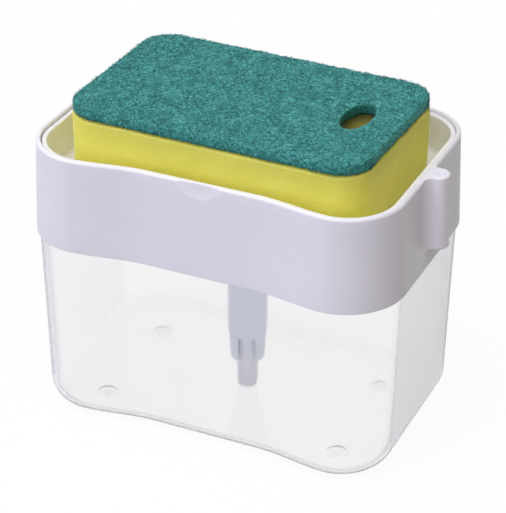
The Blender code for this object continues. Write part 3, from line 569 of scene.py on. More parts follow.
def soft_rubber(name, dark, light, transmission=0.0, bend=1.5):
    made = Nodes(name)
    made.set(Transmission_Weight=transmission, Specular_IOR_Level=0.4, IOR=bend)
    mottle = made.noise(RUBBER_MOTTLE_SCALE)
    made.link(made.ramp(mottle, (NOISE_LOW, dark), (NOISE_HIGH, light)), "Base Color")
    made.link(made.spread(made.noise(RUBBER_POLISH_SCALE, 2.0), 0.35, 0.55), "Roughness")
    made.link(made.bump(made.noise(RUBBER_GRAIN_SCALE, 2.0), 0.1, RUBBER_GRAIN_DEPTH), "Normal")
    return made.material


def steel():
    made = Nodes("steel")
    made.set(Metallic=1.0)
    stretched = made.new("Mapping", {"Scale": STEEL_STRETCH})
    made.link(made.place, stretched.inputs["Vector"])
    drawn = made.noise(STEEL_SCALE, place=stretched.outputs["Vector"])
    made.link(made.ramp(drawn, (NOISE_LOW, STEEL_DARK), (NOISE_HIGH, STEEL_LIGHT)), "Base Color")
    made.link(made.spread(drawn, 0.18, 0.32), "Roughness")
    made.link(made.bump(drawn, 0.08, GRAIN_DEPTH), "Normal")
    return made.material


# The materials, each with its darker and lighter tone
PUMP_ROUGHNESS = 0.42
WHITE = white_plastic("white_plastic", (0.85, 0.84, 0.905), (0.87, 0.86, 0.925))
CLEAR = clear_plastic()
PUMP = plastic("pump_plastic", (0.83, 0.85, 1.0), (0.86, 0.88, 1.0), PUMP_ROUGHNESS).material
FOAM = foam()
FIBRE = fibre()
# The tube's own pale plastic, made lighter than the barrel's as painted light for the brighter light near
# the tank's floor.
TUBE_WITH_PAINTED_LIGHT = plastic("tube_plastic_painted_lighter", (0.90, 0.91, 1.0), (0.93, 0.94, 1.0), PUMP_ROUGHNESS).material
TRAY_WHITE = white_plastic("tray_plastic", (0.965, 0.96, 0.95), (0.975, 0.97, 0.96))
SOFT = plastic("soft_plastic", (0.78, 0.78, 0.80), (0.84, 0.84, 0.86), 0.5).material
SEAL = soft_rubber("seal_rubber", (0.025, 0.025, 0.027), (0.05, 0.05, 0.052))
CLEAR_PAD = soft_rubber("clear_rubber", (0.98, 0.98, 0.99), (1.0, 1.0, 1.0), 0.98, 1.12)
STEEL = steel()

# How far a flat floor's first ring lies from the fillet, which keeps its shading flat
FLOOR_EDGE = 0.5 * MM

# Collar: shell, deck with its well, plug, lug and thumb scoop
COLLAR_WALL = 1.7 * MM
RIM_ROUNDING = 1.15 * MM
RIM_INNER_ROUNDING = 0.45 * MM
SKIRT_FLARE = 1.2 * MM
SKIRT_INNER = 0.6 * MM
SKIRT_ROUNDING = 0.15 * MM
WELL_RADIUS = 14.5 * MM
WELL_WALL = 1.6 * MM
WELL_DEPTH = 6.5 * MM
WELL_FLOOR = 2 * MM
WELL_FLOOR_TOP = DECK_HEIGHT - WELL_DEPTH
WELL_FLOOR_BASE = WELL_FLOOR_TOP - WELL_FLOOR
THREAD_RADIUS = 8.2 * MM
NECK_WALL = 1.5 * MM
NECK_OUTER = SKIRT_INNER + GAP
NECK_INNER = NECK_OUTER + NECK_WALL
PLUG_WALL = 1.3 * MM
PLUG_OUTER = NECK_INNER + GAP
PLUG_INNER = PLUG_OUTER + PLUG_WALL
PLUG_DEPTH = 5.5 * MM
LUG_REACH = 6.35 * MM
LUG_WIDTH = 7.8 * MM
LUG_HEIGHT = 27.5 * MM
LUG_CENTRE = -1.0 * MM
LUG_NOSE = 3.5 * MM
LUG_FRONT_FILLET = 5 * MM
LUG_NOTCH_RADIUS = 1.2 * MM
LUG_ROOT = 0.9 * MM
LUG_TOE = 0.6 * MM
LUG_LIP = 0.6 * MM
LUG_SLOT_LENGTH = 4.2 * MM
LUG_SLOT_WIDTH = 2.7 * MM
LUG_SLOT_DEPTH = 1.4 * MM
LUG_SLOT_FLARE = 0.4 * MM
LUG_SLOT_TURN = math.radians(25)
LUG_SINK = 0.05 * MM
SCOOP_RADIUS = 10.3 * MM
SCOOP_HEIGHT = 6.4 * MM
SCOOP_DEPTH = 0.65 * MM
SCOOP_FLATNESS = 4
SCOOP_CENTRE = 0.6 * MM


def lug_outline(shift, reach, lip=0.0):
    """The lug from above: soft root in front, rounded nose, sharp notch behind; the lip draws it in."""
    wall = RIM_LENGTH / 2 + shift
    front = LUG_CENTRE - LUG_WIDTH / 2 + lip
    back = LUG_CENTRE + LUG_WIDTH / 2 - lip
    nose = LUG_NOSE * reach / LUG_REACH
    nose_start = wall + reach - nose
    fillet, notch = LUG_FRONT_FILLET, LUG_NOTCH_RADIUS
    points = arc(nose_start, front - fillet, nose_start - wall, fillet, math.pi, QUARTER, FILLET_STEPS)
    round_nose = (nose - lip, LUG_WIDTH / 2 - lip)
    points += arc(nose_start, LUG_CENTRE, *round_nose, -QUARTER, QUARTER, 2 * FILLET_STEPS)[1:]
    points += arc(wall + notch, back + notch, notch, notch, -QUARTER, -math.pi, FILLET_STEPS)
    points.append((wall - LUG_ROOT, back + notch))
    points.append((wall - LUG_ROOT, front - fillet))
    return points


def lug_mesh():
    """The lug, which leans with the skirt and is rounded at its toe and its top."""
    toe, top = RIM_HEIGHT - LUG_HEIGHT + LUG_TOE, RIM_HEIGHT - LUG_SINK
    flare = SKIRT_FLARE * LUG_HEIGHT / COLLAR_HEIGHT
    rings = []
    for lip, height in arc(LUG_TOE, toe, -LUG_TOE, -LUG_TOE, QUARTER, 0, EDGE_STEPS):
        rings.append(at_height(lug_outline(flare, LUG_REACH - lip, lip), height))
    edge = arc(LUG_LIP, top - LUG_LIP, -LUG_LIP, LUG_LIP, 0, QUARTER, EDGE_STEPS)
    for share in [i / WALL_ROWS for i in range(1, WALL_ROWS)]:
        height = toe + (edge[0][1] - toe) * share
        rings.append(at_height(lug_outline(flare * (1 - share), LUG_REACH), height))
    for lip, height in edge:
        rings.append(at_height(lug_outline(0, LUG_REACH - lip, lip), height))
    return loft("lug", rings, closed=False)


def lug_slot():
    """A shallow dish in the lug's top, wider at its mouth."""
    centre_x = RIM_LENGTH / 2 + LUG_REACH / 2
    cos, sin = math.cos(LUG_SLOT_TURN), math.sin(LUG_SLOT_TURN)
    rings = []
    for i in range(EDGE_STEPS + 1):
        share = i / EDGE_STEPS
        grow = LUG_SLOT_FLARE * (share ** 2 - 1)
        ring = oval(0, 0, LUG_SLOT_LENGTH / 2 + grow, LUG_SLOT_WIDTH / 2 + grow, 4 * FILLET_STEPS)
        ring = [(centre_x + x * cos - y * sin, LUG_CENTRE + x * sin + y * cos) for x, y in ring]
        rings.append(at_height(ring, RIM_HEIGHT + LUG_SLOT_DEPTH * (share - 1)))
    rings.append(at_height(ring, RIM_HEIGHT + OVERRUN))
    return loft("lug_slot", rings, closed=False)


def scoop_cutter():
    """A shallow dish with a flat middle that leans with the collar's face."""
    lean = math.atan(SKIRT_FLARE / COLLAR_HEIGHT)
    mouth_radius = SCOOP_RADIUS * (1 + OVERRUN / SCOOP_DEPTH) ** (1 / SCOOP_FLATNESS)
    profile = [(mouth_radius, -OVERRUN)]
    steps = ROUND_STEPS // 4
    for i in range(steps):
        share = 1 - i / steps
        profile.append((SCOOP_RADIUS * share, SCOOP_DEPTH * (1 - share ** SCOOP_FLATNESS)))
    bm = bmesh.new()
    bm.from_mesh(turned("scoop", profile, closed=False))
    for vertex in bm.verts:
        across, up, inward = vertex.co
        vertex.co.x = across + SCOOP_CENTRE
        vertex.co.y = WAIST - RIM_DEPTH / 2 + inward * math.cos(lean) + up * math.sin(lean)
        vertex.co.z = up * math.cos(lean) - inward * math.sin(lean)
        vertex.co.z += RIM_HEIGHT - SCOOP_HEIGHT + SCOOP_RADIUS
    return mesh_from("scoop", bm)


def make_collar():
    rounding = SKIRT_ROUNDING
    toe = SKIRT_HEIGHT + rounding
    skirt = arc(SKIRT_INNER - rounding, toe, rounding, -rounding, 0, QUARTER, EDGE_STEPS)
    skirt += arc(rounding - SKIRT_FLARE, toe, -rounding, -rounding, QUARTER, 0, EDGE_STEPS)[:-1]
    outside = wall_between((-SKIRT_FLARE, toe), (0, RIM_HEIGHT - RIM_ROUNDING), WALL_ROWS)[:-1]
    rim = rounded_top(0, COLLAR_WALL, RIM_HEIGHT, RIM_ROUNDING, RIM_INNER_ROUNDING, FILLET_STEPS)
    inside = wall_between(rim[-1], (COLLAR_WALL, DECK_HEIGHT), WALL_ROWS)[1:]
    rings = rings_of(skirt + outside + rim + inside)
    well = [
        (WELL_RADIUS, DECK_HEIGHT),
        (WELL_RADIUS, WELL_FLOOR_TOP),
        (THREAD_RADIUS + GAP, WELL_FLOOR_TOP),
        (THREAD_RADIUS + GAP, WELL_FLOOR_BASE),
        (WELL_RADIUS + WELL_WALL, WELL_FLOOR_BASE),
        (WELL_RADIUS + WELL_WALL, DECK_UNDERSIDE),
    ]
    rings += circles_of(well, body_outline(0))
    rings += rings_of([
        (PLUG_INNER, DECK_UNDERSIDE),
        (PLUG_INNER, DECK_UNDERSIDE - PLUG_DEPTH),
        (PLUG_OUTER, DECK_UNDERSIDE - PLUG_DEPTH),
        (PLUG_OUTER, DECK_UNDERSIDE),
        (SKIRT_INNER, DECK_UNDERSIDE),
    ])
    shell = loft("collar_shell", rings, closed=True)
    shell = applied_boolean(shell, lug_mesh(), "UNION")
    shell = applied_boolean(shell, lug_slot(), "DIFFERENCE")
    shell = applied_boolean(shell, scoop_cutter(), "DIFFERENCE")
    piece("collar_shell", sharpened(shell), "top", WHITE, "collar")


# Sponge tray
TRAY_OUTER = 1.95 * MM
TRAY_INNER = 3.8 * MM
TRAY_DRAFT = 0.4 * MM
TRAY_FILLET = 3.2 * MM
TRAY_OFFSET = 0.1 * MM
TRAY_ROUNDING = 0.6 * MM
TRAY_DROP = 1 * MM
CAP_RADIUS = 7.7 * MM
SOAP_CHAMBER_RADIUS = 6 * MM
SOAP_HOLE_RADIUS = 2.2 * MM
STEM_RADIUS = 3.2 * MM
BOSS_RADIUS = 5.5 * MM
BOSS_ROOT_RADIUS = 10 * MM
BOSS_ROOT_DEPTH = 1.5 * MM
BOSS_LENGTH = 5 * MM
BOSS_BASE = TRAY_UNDERSIDE - BOSS_LENGTH
CAP_THICKNESS = 1.2 * MM
CAP_SEAT = TRAY_FLOOR - CAP_THICKNESS
SOAP_CHAMBER_DEPTH = 0.5 * MM
SOAP_CHAMBER_BASE = CAP_SEAT - SOAP_CHAMBER_DEPTH
RIB_HEIGHT = 1 * MM
RIB_WIDTH = 1.6 * MM
RIB_LENGTH = 50 * MM
RIB_PLACES = (20 * MM, 34 * MM, 48 * MM)


def make_tray():
    fillet = TRAY_FILLET - (TRAY_INNER - TRAY_OUTER)
    floor_outer = TRAY_OUTER + TRAY_DRAFT
    floor_inner = TRAY_INNER + TRAY_DRAFT
    walls = rounded_top(TRAY_OUTER, TRAY_INNER, RIM_HEIGHT - TRAY_DROP, TRAY_ROUNDING, TRAY_ROUNDING)
    walls += wall_between(walls[-1], (floor_inner, TRAY_FLOOR + fillet), WALL_ROWS // 2)[1:-1]
    walls += arc(floor_inner + fillet, TRAY_FLOOR + fillet, -fillet, -fillet, 0, QUARTER, FILLET_STEPS)
    walls.append((floor_inner + fillet + FLOOR_EDGE, TRAY_FLOOR))
    rings = rings_of(walls, TRAY_OFFSET)
    centre = [
        (CAP_RADIUS + GAP, TRAY_FLOOR),
        (CAP_RADIUS + GAP, CAP_SEAT),
        (SOAP_CHAMBER_RADIUS, CAP_SEAT),
        (SOAP_CHAMBER_RADIUS, SOAP_CHAMBER_BASE),
        (SOAP_HOLE_RADIUS, SOAP_CHAMBER_BASE),
        (SOAP_HOLE_RADIUS, STEM_TOP + GAP),
        (STEM_RADIUS + GAP, STEM_TOP + GAP),
        (STEM_RADIUS + GAP, BOSS_BASE),
        (BOSS_RADIUS, BOSS_BASE),
        (BOSS_RADIUS, TRAY_UNDERSIDE - BOSS_ROOT_DEPTH),
        (BOSS_ROOT_RADIUS, TRAY_UNDERSIDE - BOSS_ROOT_DEPTH),
        (BOSS_ROOT_RADIUS, TRAY_UNDERSIDE),
    ]
    rings += circles_of(centre, body_outline(TRAY_OUTER, TRAY_OFFSET))
    underside = arc(
        floor_outer + TRAY_FILLET, TRAY_UNDERSIDE + TRAY_FILLET, -TRAY_FILLET, -TRAY_FILLET,
        QUARTER, 0, EDGE_STEPS,
    )
    rings += rings_of(underside, TRAY_OFFSET)
    shell = loft("tray_shell", rings, closed=True)
    for side in (-1, 1):
        for place in RIB_PLACES:
            centre = (side * place, 0, TRAY_FLOOR)
            rib = block("rib", centre, (RIB_WIDTH, RIB_LENGTH, 2 * RIB_HEIGHT))
            shell = applied_boolean(shell, rib, "UNION")
    piece("tray_shell", sharpened(shell), "tray", TRAY_WHITE, "sponge_tray")


# Reservoir
TANK_TOP_INSET = -0.1 * MM
TANK_DRAFT = 1.46 * MM
TANK_BASE_INSET = TANK_TOP_INSET + TANK_DRAFT
TANK_WALL = 1.6 * MM
TANK_FLOOR = 1.4 * MM
TANK_FLOOR_TOP = TANK_BASE + TANK_FLOOR
BASE_FILLET = 7.7 * MM
SHOULDER_GAP = 0.05 * MM
SHOULDER_TOP = SKIRT_HEIGHT - SHOULDER_GAP
NECK_BLEND = 0.6 * MM
NECK_ROUNDING = 0.4 * MM
FOOT_RADIUS = 3.7 * MM
FOOT_GAP = 0.06 * MM
FOOT_NODES = ("foot_front_left", "foot_front_right", "foot_rear_left", "foot_rear_right")


def make_tank():
    fillet, inner_fillet = BASE_FILLET, BASE_FILLET - TANK_WALL
    outer_base = TANK_BASE_INSET + fillet
    inner_base = TANK_BASE_INSET + TANK_WALL
    inner_middle = (inner_base + inner_fillet, TANK_FLOOR_TOP + inner_fillet)
    outside = arc(outer_base, TANK_BASE + fillet, -fillet, -fillet, QUARTER, 0, FILLET_STEPS)
    outside += wall_between(outside[-1], (TANK_TOP_INSET, SHOULDER_TOP), WALL_ROWS)[1:]
    outside.append((NECK_OUTER, SHOULDER_TOP))
    neck = rounded_top(NECK_OUTER, NECK_INNER, NECK_TOP, NECK_ROUNDING, NECK_ROUNDING)
    blend_base = (TANK_TOP_INSET + TANK_WALL, SHOULDER_TOP - 2 * NECK_BLEND)
    inside = [(NECK_INNER, SHOULDER_TOP - NECK_BLEND)]
    inside += wall_between(blend_base, (inner_base, TANK_FLOOR_TOP + inner_fillet), WALL_ROWS)
    inside += arc(*inner_middle, -inner_fillet, -inner_fillet, 0, QUARTER, FILLET_STEPS)[1:]
    floor_edge = (outer_base + FLOOR_EDGE, TANK_BASE)
    inner_floor_edge = (inner_middle[0] + FLOOR_EDGE, TANK_FLOOR_TOP)
    profile = [floor_edge] + outside + neck + inside + [inner_floor_edge]
    shell = loft("tank_shell", rings_of(profile), closed=False)
    for name in FOOT_NODES:
        low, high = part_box(name)
        centre = (low + high) / 2
        radius = FOOT_RADIUS + FOOT_GAP
        circle = oval(centre.x - AXIS_X, centre.y, radius, radius)
        pocket = prism("pocket", circle, TANK_BASE - OVERRUN, high.z + FOOT_GAP)
        shell = applied_boolean(shell, pocket, "DIFFERENCE")
    piece("tank_shell", sharpened(shell), "tank", CLEAR, "reservoir")


# Pump pieces that show through the tank
FLANGE_RADIUS = 13 * MM
THREAD_LENGTH = 10.5 * MM
THREAD_RUNOUT = 1 * MM
BARREL_LENGTH = 46.5 * MM
BARREL_BASE = FLANGE_BASE - BARREL_LENGTH
SLEEVE_STEP = 1 * MM
SOCKET_BASE = BARREL_BASE - SLEEVE_STEP
SOCKET_DEPTH = 4.9 * MM
SOCKET_TOP = SOCKET_BASE + SOCKET_DEPTH
BARREL_EDGE = 0.25 * MM
INLET_RADIUS = 1.6 * MM
INLET_LENGTH = 0.9 * MM
SEAT_RADIUS = 3.1 * MM
SEAT_HEIGHT = 1.6 * MM
BARREL_TOP_RADIUS = 7.5 * MM
BARREL_BASE_RADIUS = 7.2 * MM
BARREL_BORE = 6.1 * MM
SLEEVE_TOP_RADIUS = 6.9 * MM
SLEEVE_RADIUS = 6.3 * MM
SLEEVE_WALL = 2.3 * MM
SLOT_WIDTH = 6.4 * MM
SLOT_TURN = math.radians(20.5)
TUBE_RADIUS = 3.85 * MM
TUBE_BORE = 2.5 * MM
TUBE_EDGE = 0.25 * MM
NOTCH_WIDTH = 3 * MM
NOTCH_HEIGHT = 1.5 * MM
NOTCH_TURN = math.radians(22)


def make_barrel():
    seat_base = SOCKET_TOP + INLET_LENGTH
    seat_top = seat_base + SEAT_HEIGHT
    profile = [
        (FLANGE_RADIUS, FLANGE_TOP),
        (FLANGE_RADIUS, FLANGE_BASE),
        (THREAD_RADIUS, FLANGE_BASE),
        (THREAD_RADIUS, FLANGE_BASE - THREAD_LENGTH),
        (BARREL_TOP_RADIUS, FLANGE_BASE - THREAD_LENGTH - THREAD_RUNOUT),
        (BARREL_BASE_RADIUS, BARREL_BASE + BARREL_EDGE),
        (BARREL_BASE_RADIUS - BARREL_EDGE, BARREL_BASE),
        (SLEEVE_TOP_RADIUS, SOCKET_BASE),
        (SLEEVE_RADIUS, SLEEVE_BASE + BARREL_EDGE),
        (SLEEVE_RADIUS - BARREL_EDGE, SLEEVE_BASE),
        (SLEEVE_RADIUS - SLEEVE_WALL, SLEEVE_BASE),
        (SLEEVE_RADIUS - SLEEVE_WALL, SOCKET_BASE),
        (TUBE_RADIUS + GAP, SOCKET_BASE),
        (TUBE_RADIUS + GAP, SOCKET_TOP),
        (INLET_RADIUS, SOCKET_TOP),
        (INLET_RADIUS, seat_base),
        (SEAT_RADIUS, seat_top),
        (BARREL_BORE, seat_top),
        (BARREL_BORE, FLANGE_TOP),
    ]
    slot_top, slot_low = SOCKET_BASE - GAP, SLEEVE_BASE - OVERRUN
    size = (SLOT_WIDTH, 2 * (SLEEVE_TOP_RADIUS + OVERRUN), slot_top - slot_low)
    slot = block("slot", (0, 0, (slot_top + slot_low) / 2), size, SLOT_TURN)
    shell = sharpened(applied_boolean(turned("barrel_shell", profile), slot, "DIFFERENCE"))
    piece("barrel_shell", shell, "top", PUMP, "pump_barrel")


def make_tube():
    profile = [
        (TUBE_BORE, TUBE_BASE),
        (TUBE_RADIUS - TUBE_EDGE, TUBE_BASE),
        (TUBE_RADIUS, TUBE_BASE + TUBE_EDGE),
        (TUBE_RADIUS, TUBE_TOP),
        (TUBE_BORE, TUBE_TOP),
    ]
    size = (2 * (TUBE_RADIUS + OVERRUN), NOTCH_WIDTH, 2 * NOTCH_HEIGHT)
    notch = block("notch", (0, 0, TUBE_BASE), size, NOTCH_TURN)
    shell = sharpened(applied_boolean(turned("tube_shell", profile), notch, "DIFFERENCE"))
    piece("tube_shell", shell, "top", TUBE_WITH_PAINTED_LIGHT, "dip_tube")


# Return spring: one fixed coil, though the real spring shortens by the pump's travel
SPRING_RADIUS = 4 * MM
SPRING_WIRE_RADIUS = 0.45 * MM
SPRING_TURNS = 7
SPRING_TURN_STEPS = 32
SPRING_WIRE_STEPS = 10


def make_spring():
    base, top = heights("return_spring")
    low, high = base + SPRING_WIRE_RADIUS, top - SPRING_WIRE_RADIUS
    steps = SPRING_TURNS * SPRING_TURN_STEPS
    section = oval(0, 0, SPRING_WIRE_RADIUS, SPRING_WIRE_RADIUS, SPRING_WIRE_STEPS)
    rings = []
    for i in range(steps + 1):
        angle = FULL_TURN * i / SPRING_TURN_STEPS
        height = low + (high - low) * i / steps
        ring = []
        for out, up in section:
            radius = SPRING_RADIUS + out
            ring.append((radius * math.cos(angle), radius * math.sin(angle), height + up))
        rings.append(ring)
    mesh = loft("spring_coil", rings, closed=False)
    coil = piece("spring_coil", mesh, "top", STEEL, "return_spring")
    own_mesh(coil)


# Sponge
SPONGE_LENGTH = 111.1 * MM
SPONGE_DEPTH = 69.5 * MM
SPONGE_CORNER = 11.6 * MM
SPONGE_TURN = math.radians(-1.32)
SPONGE_SHIFT = (0.8 * MM, 0.15 * MM)
FOAM_INSET = -0.1 * MM
FOAM_SETTLED = 0.9 * MM
FOAM_ROUNDING = 0.5 * MM
FOAM_VOXEL = 1.2 * MM
PAD_ROUNDING = 0.8 * MM
PAD_VOXEL = 0.6 * MM
PAD_INSET = 0.4 * MM

# Noise that roughens foam and pad: waves per metre and depth
FOAM_ROUGHNESS = ((60.0, 0.35 * MM), (250.0, 0.15 * MM), (900.0, 0.08 * MM))
PAD_ROUGHNESS = ((200.0, 0.12 * MM), (700.0, 0.06 * MM), (1800.0, 0.12 * MM))


def sponge_outline(inset):
    return rounded_outline(SPONGE_LENGTH / 2 - inset, SPONGE_DEPTH / 2 - inset, SPONGE_CORNER - inset)


def remeshed(mesh, voxel):
    thing = placed("remesh", mesh)
    modifier = thing.modifiers.new("remesh", "REMESH")
    modifier.mode = "VOXEL"
    modifier.voxel_size = voxel
    made = evaluated_mesh(thing, mesh.name)
    bpy.data.objects.remove(thing)
    return made


def roughened(mesh, strengths):
    """The mesh with its points moved along their normals by noise of (waves per metre, depth) pairs."""
    normals = [vertex.normal.copy() for vertex in mesh.vertices]
    for vertex, normal in zip(mesh.vertices, normals):
        depth = 0.0
        for scale, amount in strengths:
            depth += amount * noise.noise(vertex.co * scale + Vector((scale, 0, 0)))
        vertex.co += normal * depth
    return mesh


def sponge_piece(name, mesh, material, replaced):
    """A piece of the sponge, which sits a little turned in the tray."""
    mesh.shade_smooth()
    place = (AXIS_X + SPONGE_SHIFT[0], SPONGE_SHIFT[1], 0)
    return piece(name, mesh, "sponge", material, replaced, place, SPONGE_TURN)


def make_foam():
    """The foam has settled between the ribs of the tray."""
    rounding = FOAM_ROUNDING
    centre = FOAM_BASE - FOAM_SETTLED + rounding
    rings = []
    for inset, height in arc(rounding, centre, -rounding, -rounding, QUARTER, 0, EDGE_STEPS):
        rings.append(at_height(sponge_outline(FOAM_INSET + inset), height))
    rings.append(at_height(sponge_outline(FOAM_INSET), FOAM_TOP))
    mesh = remeshed(loft("foam_block", rings, closed=False), FOAM_VOXEL)
    mesh = roughened(mesh, FOAM_ROUGHNESS)
    foam_block = sponge_piece("foam_block", mesh, FOAM, "sponge_foam")


# Fibres of the scouring pad
FIBRES_ON_TOP = 26000
FIBRES_ON_SIDE = 4000
FIBRE_RADIUS = 0.08 * MM
FIBRE_SIDES = 3
FIBRE_SEGMENTS = 3
FIBRE_TIP = 0.6
FIBRE_LENGTHS = (0.9 * MM, 2.2 * MM)
FIBRE_BEND = 0.35
FIBRE_WAVE = 0.12
NO_LENGTH = 1e-7

# Fibres on the pad's top: how far they keep from its edges, scatter in height, tilt and lean
TOP_MARGIN = 0.8 * MM
TOP_SCATTER = 0.10 * MM
TOP_TILT = 0.12
TOP_LEAN = 0.4
TOP_THICKNESS = (0.7, 1.5)

# Fibres on its side: the lowest, how they thin out upward, and how they turn, stick out and lean
SIDE_LOWEST = 0.2 * MM
SIDE_RISE = 1.3
SIDE_TURN = 0.9
SIDE_OUTWARD = (-0.3, 0.6)
SIDE_BULGE = (0.0, 0.8)
SIDE_LEAN = 0.5
SIDE_THICKNESS = (0.7, 1.2)


def fibre_strand(points, radius, vertices, faces):
    """Adds a closed three-sided tube through the points."""
    start = len(vertices)
    sides = FIBRE_SIDES
    for i, point in enumerate(points):
        ahead = points[min(i + 1, len(points) - 1)] - points[max(i - 1, 0)]
        side = ahead.cross(Vector((0, 0, 1)))
        if side.length < NO_LENGTH:
            side = Vector((1, 0, 0))
        side.normalize()
        up = side.cross(ahead).normalized()
        taper = radius * (FIBRE_TIP if i in (0, len(points) - 1) else 1.0)
        for across, above in oval(0, 0, taper, taper, sides):
            vertices.append(point + side * across + up * above)
    last = start + sides * (len(points) - 1)
    for low in range(start, last, sides):
        for k in range(sides):
            a, b = low + k, low + (k + 1) % sides
            faces.append((a, b, b + sides, a + sides))
    faces.append((start + 2, start + 1, start))
    faces.append((last, last + 1, last + 2))


def inside_pad(x, y, margin):
    """True where the point is on the pad's top, away from its edge and its hole by the margin."""
    reach_x = SPONGE_LENGTH / 2 - SPONGE_CORNER
    reach_y = SPONGE_DEPTH / 2 - SPONGE_CORNER
    out_x = max(abs(x) - reach_x, 0.0)
    out_y = max(abs(y) - reach_y, 0.0)
    if math.hypot(out_x, out_y) > SPONGE_CORNER - margin:
        return False
    hole_x = (x - HOLE_PLACE[0]) / (HOLE_WIDTH / 2 + margin)
    hole_y = (y - HOLE_PLACE[1]) / (HOLE_LENGTH / 2 + margin)
    return math.hypot(hole_x, hole_y) > 1.0


def curled(rng, centre, along, across, thickness):
    """Points of a bent fibre about its centre, and its radius from a range of thickness."""
    length = rng.uniform(*FIBRE_LENGTHS)
    radius = FIBRE_RADIUS * rng.uniform(*thickness)
    bend = rng.uniform(-FIBRE_BEND, FIBRE_BEND) * length
    wave = rng.uniform(-FIBRE_WAVE, FIBRE_WAVE) * length
    points = []
    for i in range(FIBRE_SEGMENTS + 1):
        share = i / FIBRE_SEGMENTS - 0.5
        shift = bend * (1 - 4 * share * share) + wave * math.sin(FULL_TURN * share)
        points.append(centre + along * (share * length) + across * shift)
    return points, radius


def top_fibre(rng):
    """Points and radius of a fibre on the pad's top, or None where it would miss the top."""
    x = rng.uniform(-0.5, 0.5) * SPONGE_LENGTH
    y = rng.uniform(-0.5, 0.5) * SPONGE_DEPTH
    if not inside_pad(x, y, TOP_MARGIN):
        return None
    heading = rng.uniform(0, math.pi)
    along = Vector((math.cos(heading), math.sin(heading), rng.uniform(-TOP_TILT, TOP_TILT)))
    across = Vector((-math.sin(heading), math.cos(heading), rng.uniform(-TOP_LEAN, TOP_LEAN)))
    centre = Vector((x, y, PAD_TOP + rng.uniform(-TOP_SCATTER, TOP_SCATTER)))
    return curled(rng, centre, along, across, TOP_THICKNESS)


def side_fibre(rng, edge):
    """Points and radius of a fibre on the pad's side, or None at a doubled point of its edge."""
    i = rng.randrange(len(edge))
    ahead = Vector((*edge[(i + 1) % len(edge)], 0)) - Vector((*edge[i], 0))
    if ahead.length < NO_LENGTH:
        return None
    ahead.normalize()
    outward = Vector((ahead.y, -ahead.x, 0))
    low = PAD_BASE + SIDE_LOWEST
    height = low + (PAD_TOP - low) * rng.random() ** SIDE_RISE
    rounding = max(0.0, height - (PAD_TOP - PAD_ROUNDING)) / PAD_ROUNDING
    drawn_in = PAD_ROUNDING * (1 - math.sqrt(max(0.0, 1 - rounding ** 2)))
    centre = Vector((*edge[i], height)) - outward * drawn_in
    turn = rng.uniform(-SIDE_TURN, SIDE_TURN)
    along = ahead * math.cos(turn) + Vector((0, 0, math.sin(turn))) + outward * rng.uniform(*SIDE_OUTWARD)
    across = outward * rng.uniform(*SIDE_BULGE) + Vector((0, 0, rng.uniform(-SIDE_LEAN, SIDE_LEAN)))
    return curled(rng, centre, along, across, SIDE_THICKNESS)


def pad_fibres():
    """All fibres as one mesh; each is an island of its own."""
    rng = random.Random(SEED)
    vertices = []
    faces = []
    made = 0
    while made < FIBRES_ON_TOP:
        fibre_on_top = top_fibre(rng)
        if fibre_on_top:
            fibre_strand(*fibre_on_top, vertices, faces)
            made += 1
    edge = sponge_outline(PAD_INSET)
    for _ in range(FIBRES_ON_SIDE):
        fibre_on_side = side_fibre(rng, edge)
        if fibre_on_side:
            fibre_strand(*fibre_on_side, vertices, faces)
    mesh = bpy.data.meshes.new("pad_fibres")
    mesh.from_pydata([tuple(v) for v in vertices], [], faces)
    return mesh


def make_pad():
    """A rounded, rough pad with a hole, joined with its fibres."""
    rounding = PAD_ROUNDING
    rings = [at_height(sponge_outline(PAD_INSET), PAD_BASE)]
    for inset, height in arc(rounding, PAD_TOP - rounding, -rounding, rounding, 0, QUARTER, EDGE_STEPS):
        rings.append(at_height(sponge_outline(PAD_INSET + inset), height))
    solid = loft("fibre_pad", rings, closed=False)
    ring = oval(*HOLE_PLACE, HOLE_WIDTH / 2, HOLE_LENGTH / 2)
    hole = prism("pad_hole", ring, PAD_BASE - OVERRUN, PAD_TOP + OVERRUN)
    mesh = remeshed(applied_boolean(solid, hole, "DIFFERENCE"), PAD_VOXEL)
    bm = bmesh.new()
    bm.from_mesh(roughened(mesh, PAD_ROUGHNESS))
    bm.from_mesh(pad_fibres())
    joined = bpy.data.meshes.new("fibre_pad")
    bm.to_mesh(joined)
    bm.free()
    pad = sponge_piece("fibre_pad", joined, FIBRE, "scouring_pad")


# Pieces that keep their solids, with their materials
CAD_FINISHES = {
    "outlet_cap": WHITE,
    "pump_gasket": SEAL,
    "pump_nut": WHITE,
    "stem_guide": WHITE,
    "pump_stem": WHITE,
    "piston": SOFT,
    "ball_cage": PUMP,
    "inlet_ball": STEEL,
    "outlet_ball": STEEL,
    **dict.fromkeys(FOOT_NODES, CLEAR_PAD),
}


def finish_cad_pieces():
    for name, material in CAD_FINISHES.items():
        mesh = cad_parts[name].data
        mesh.materials.clear()
        mesh.materials.append(material)


# Camera
CAMERA_AZIMUTH = math.radians(24.485)
CAMERA_ELEVATION = math.radians(30.146)
CAMERA_ROLL = math.radians(0.190)
CAMERA_DISTANCE = 741.1 * MM
CAMERA_TARGET = Vector((AXIS_X + 1.589 * MM, 0, 55.17 * MM))
CAMERA_NEAR = 10 * MM
CAMERA_FAR = 20.0
FOCAL_PIXELS = 2073.63
FRAME_PIXELS = 513
SENSOR = 36.0
CENTRE_SHIFT_PIXELS = 0.737


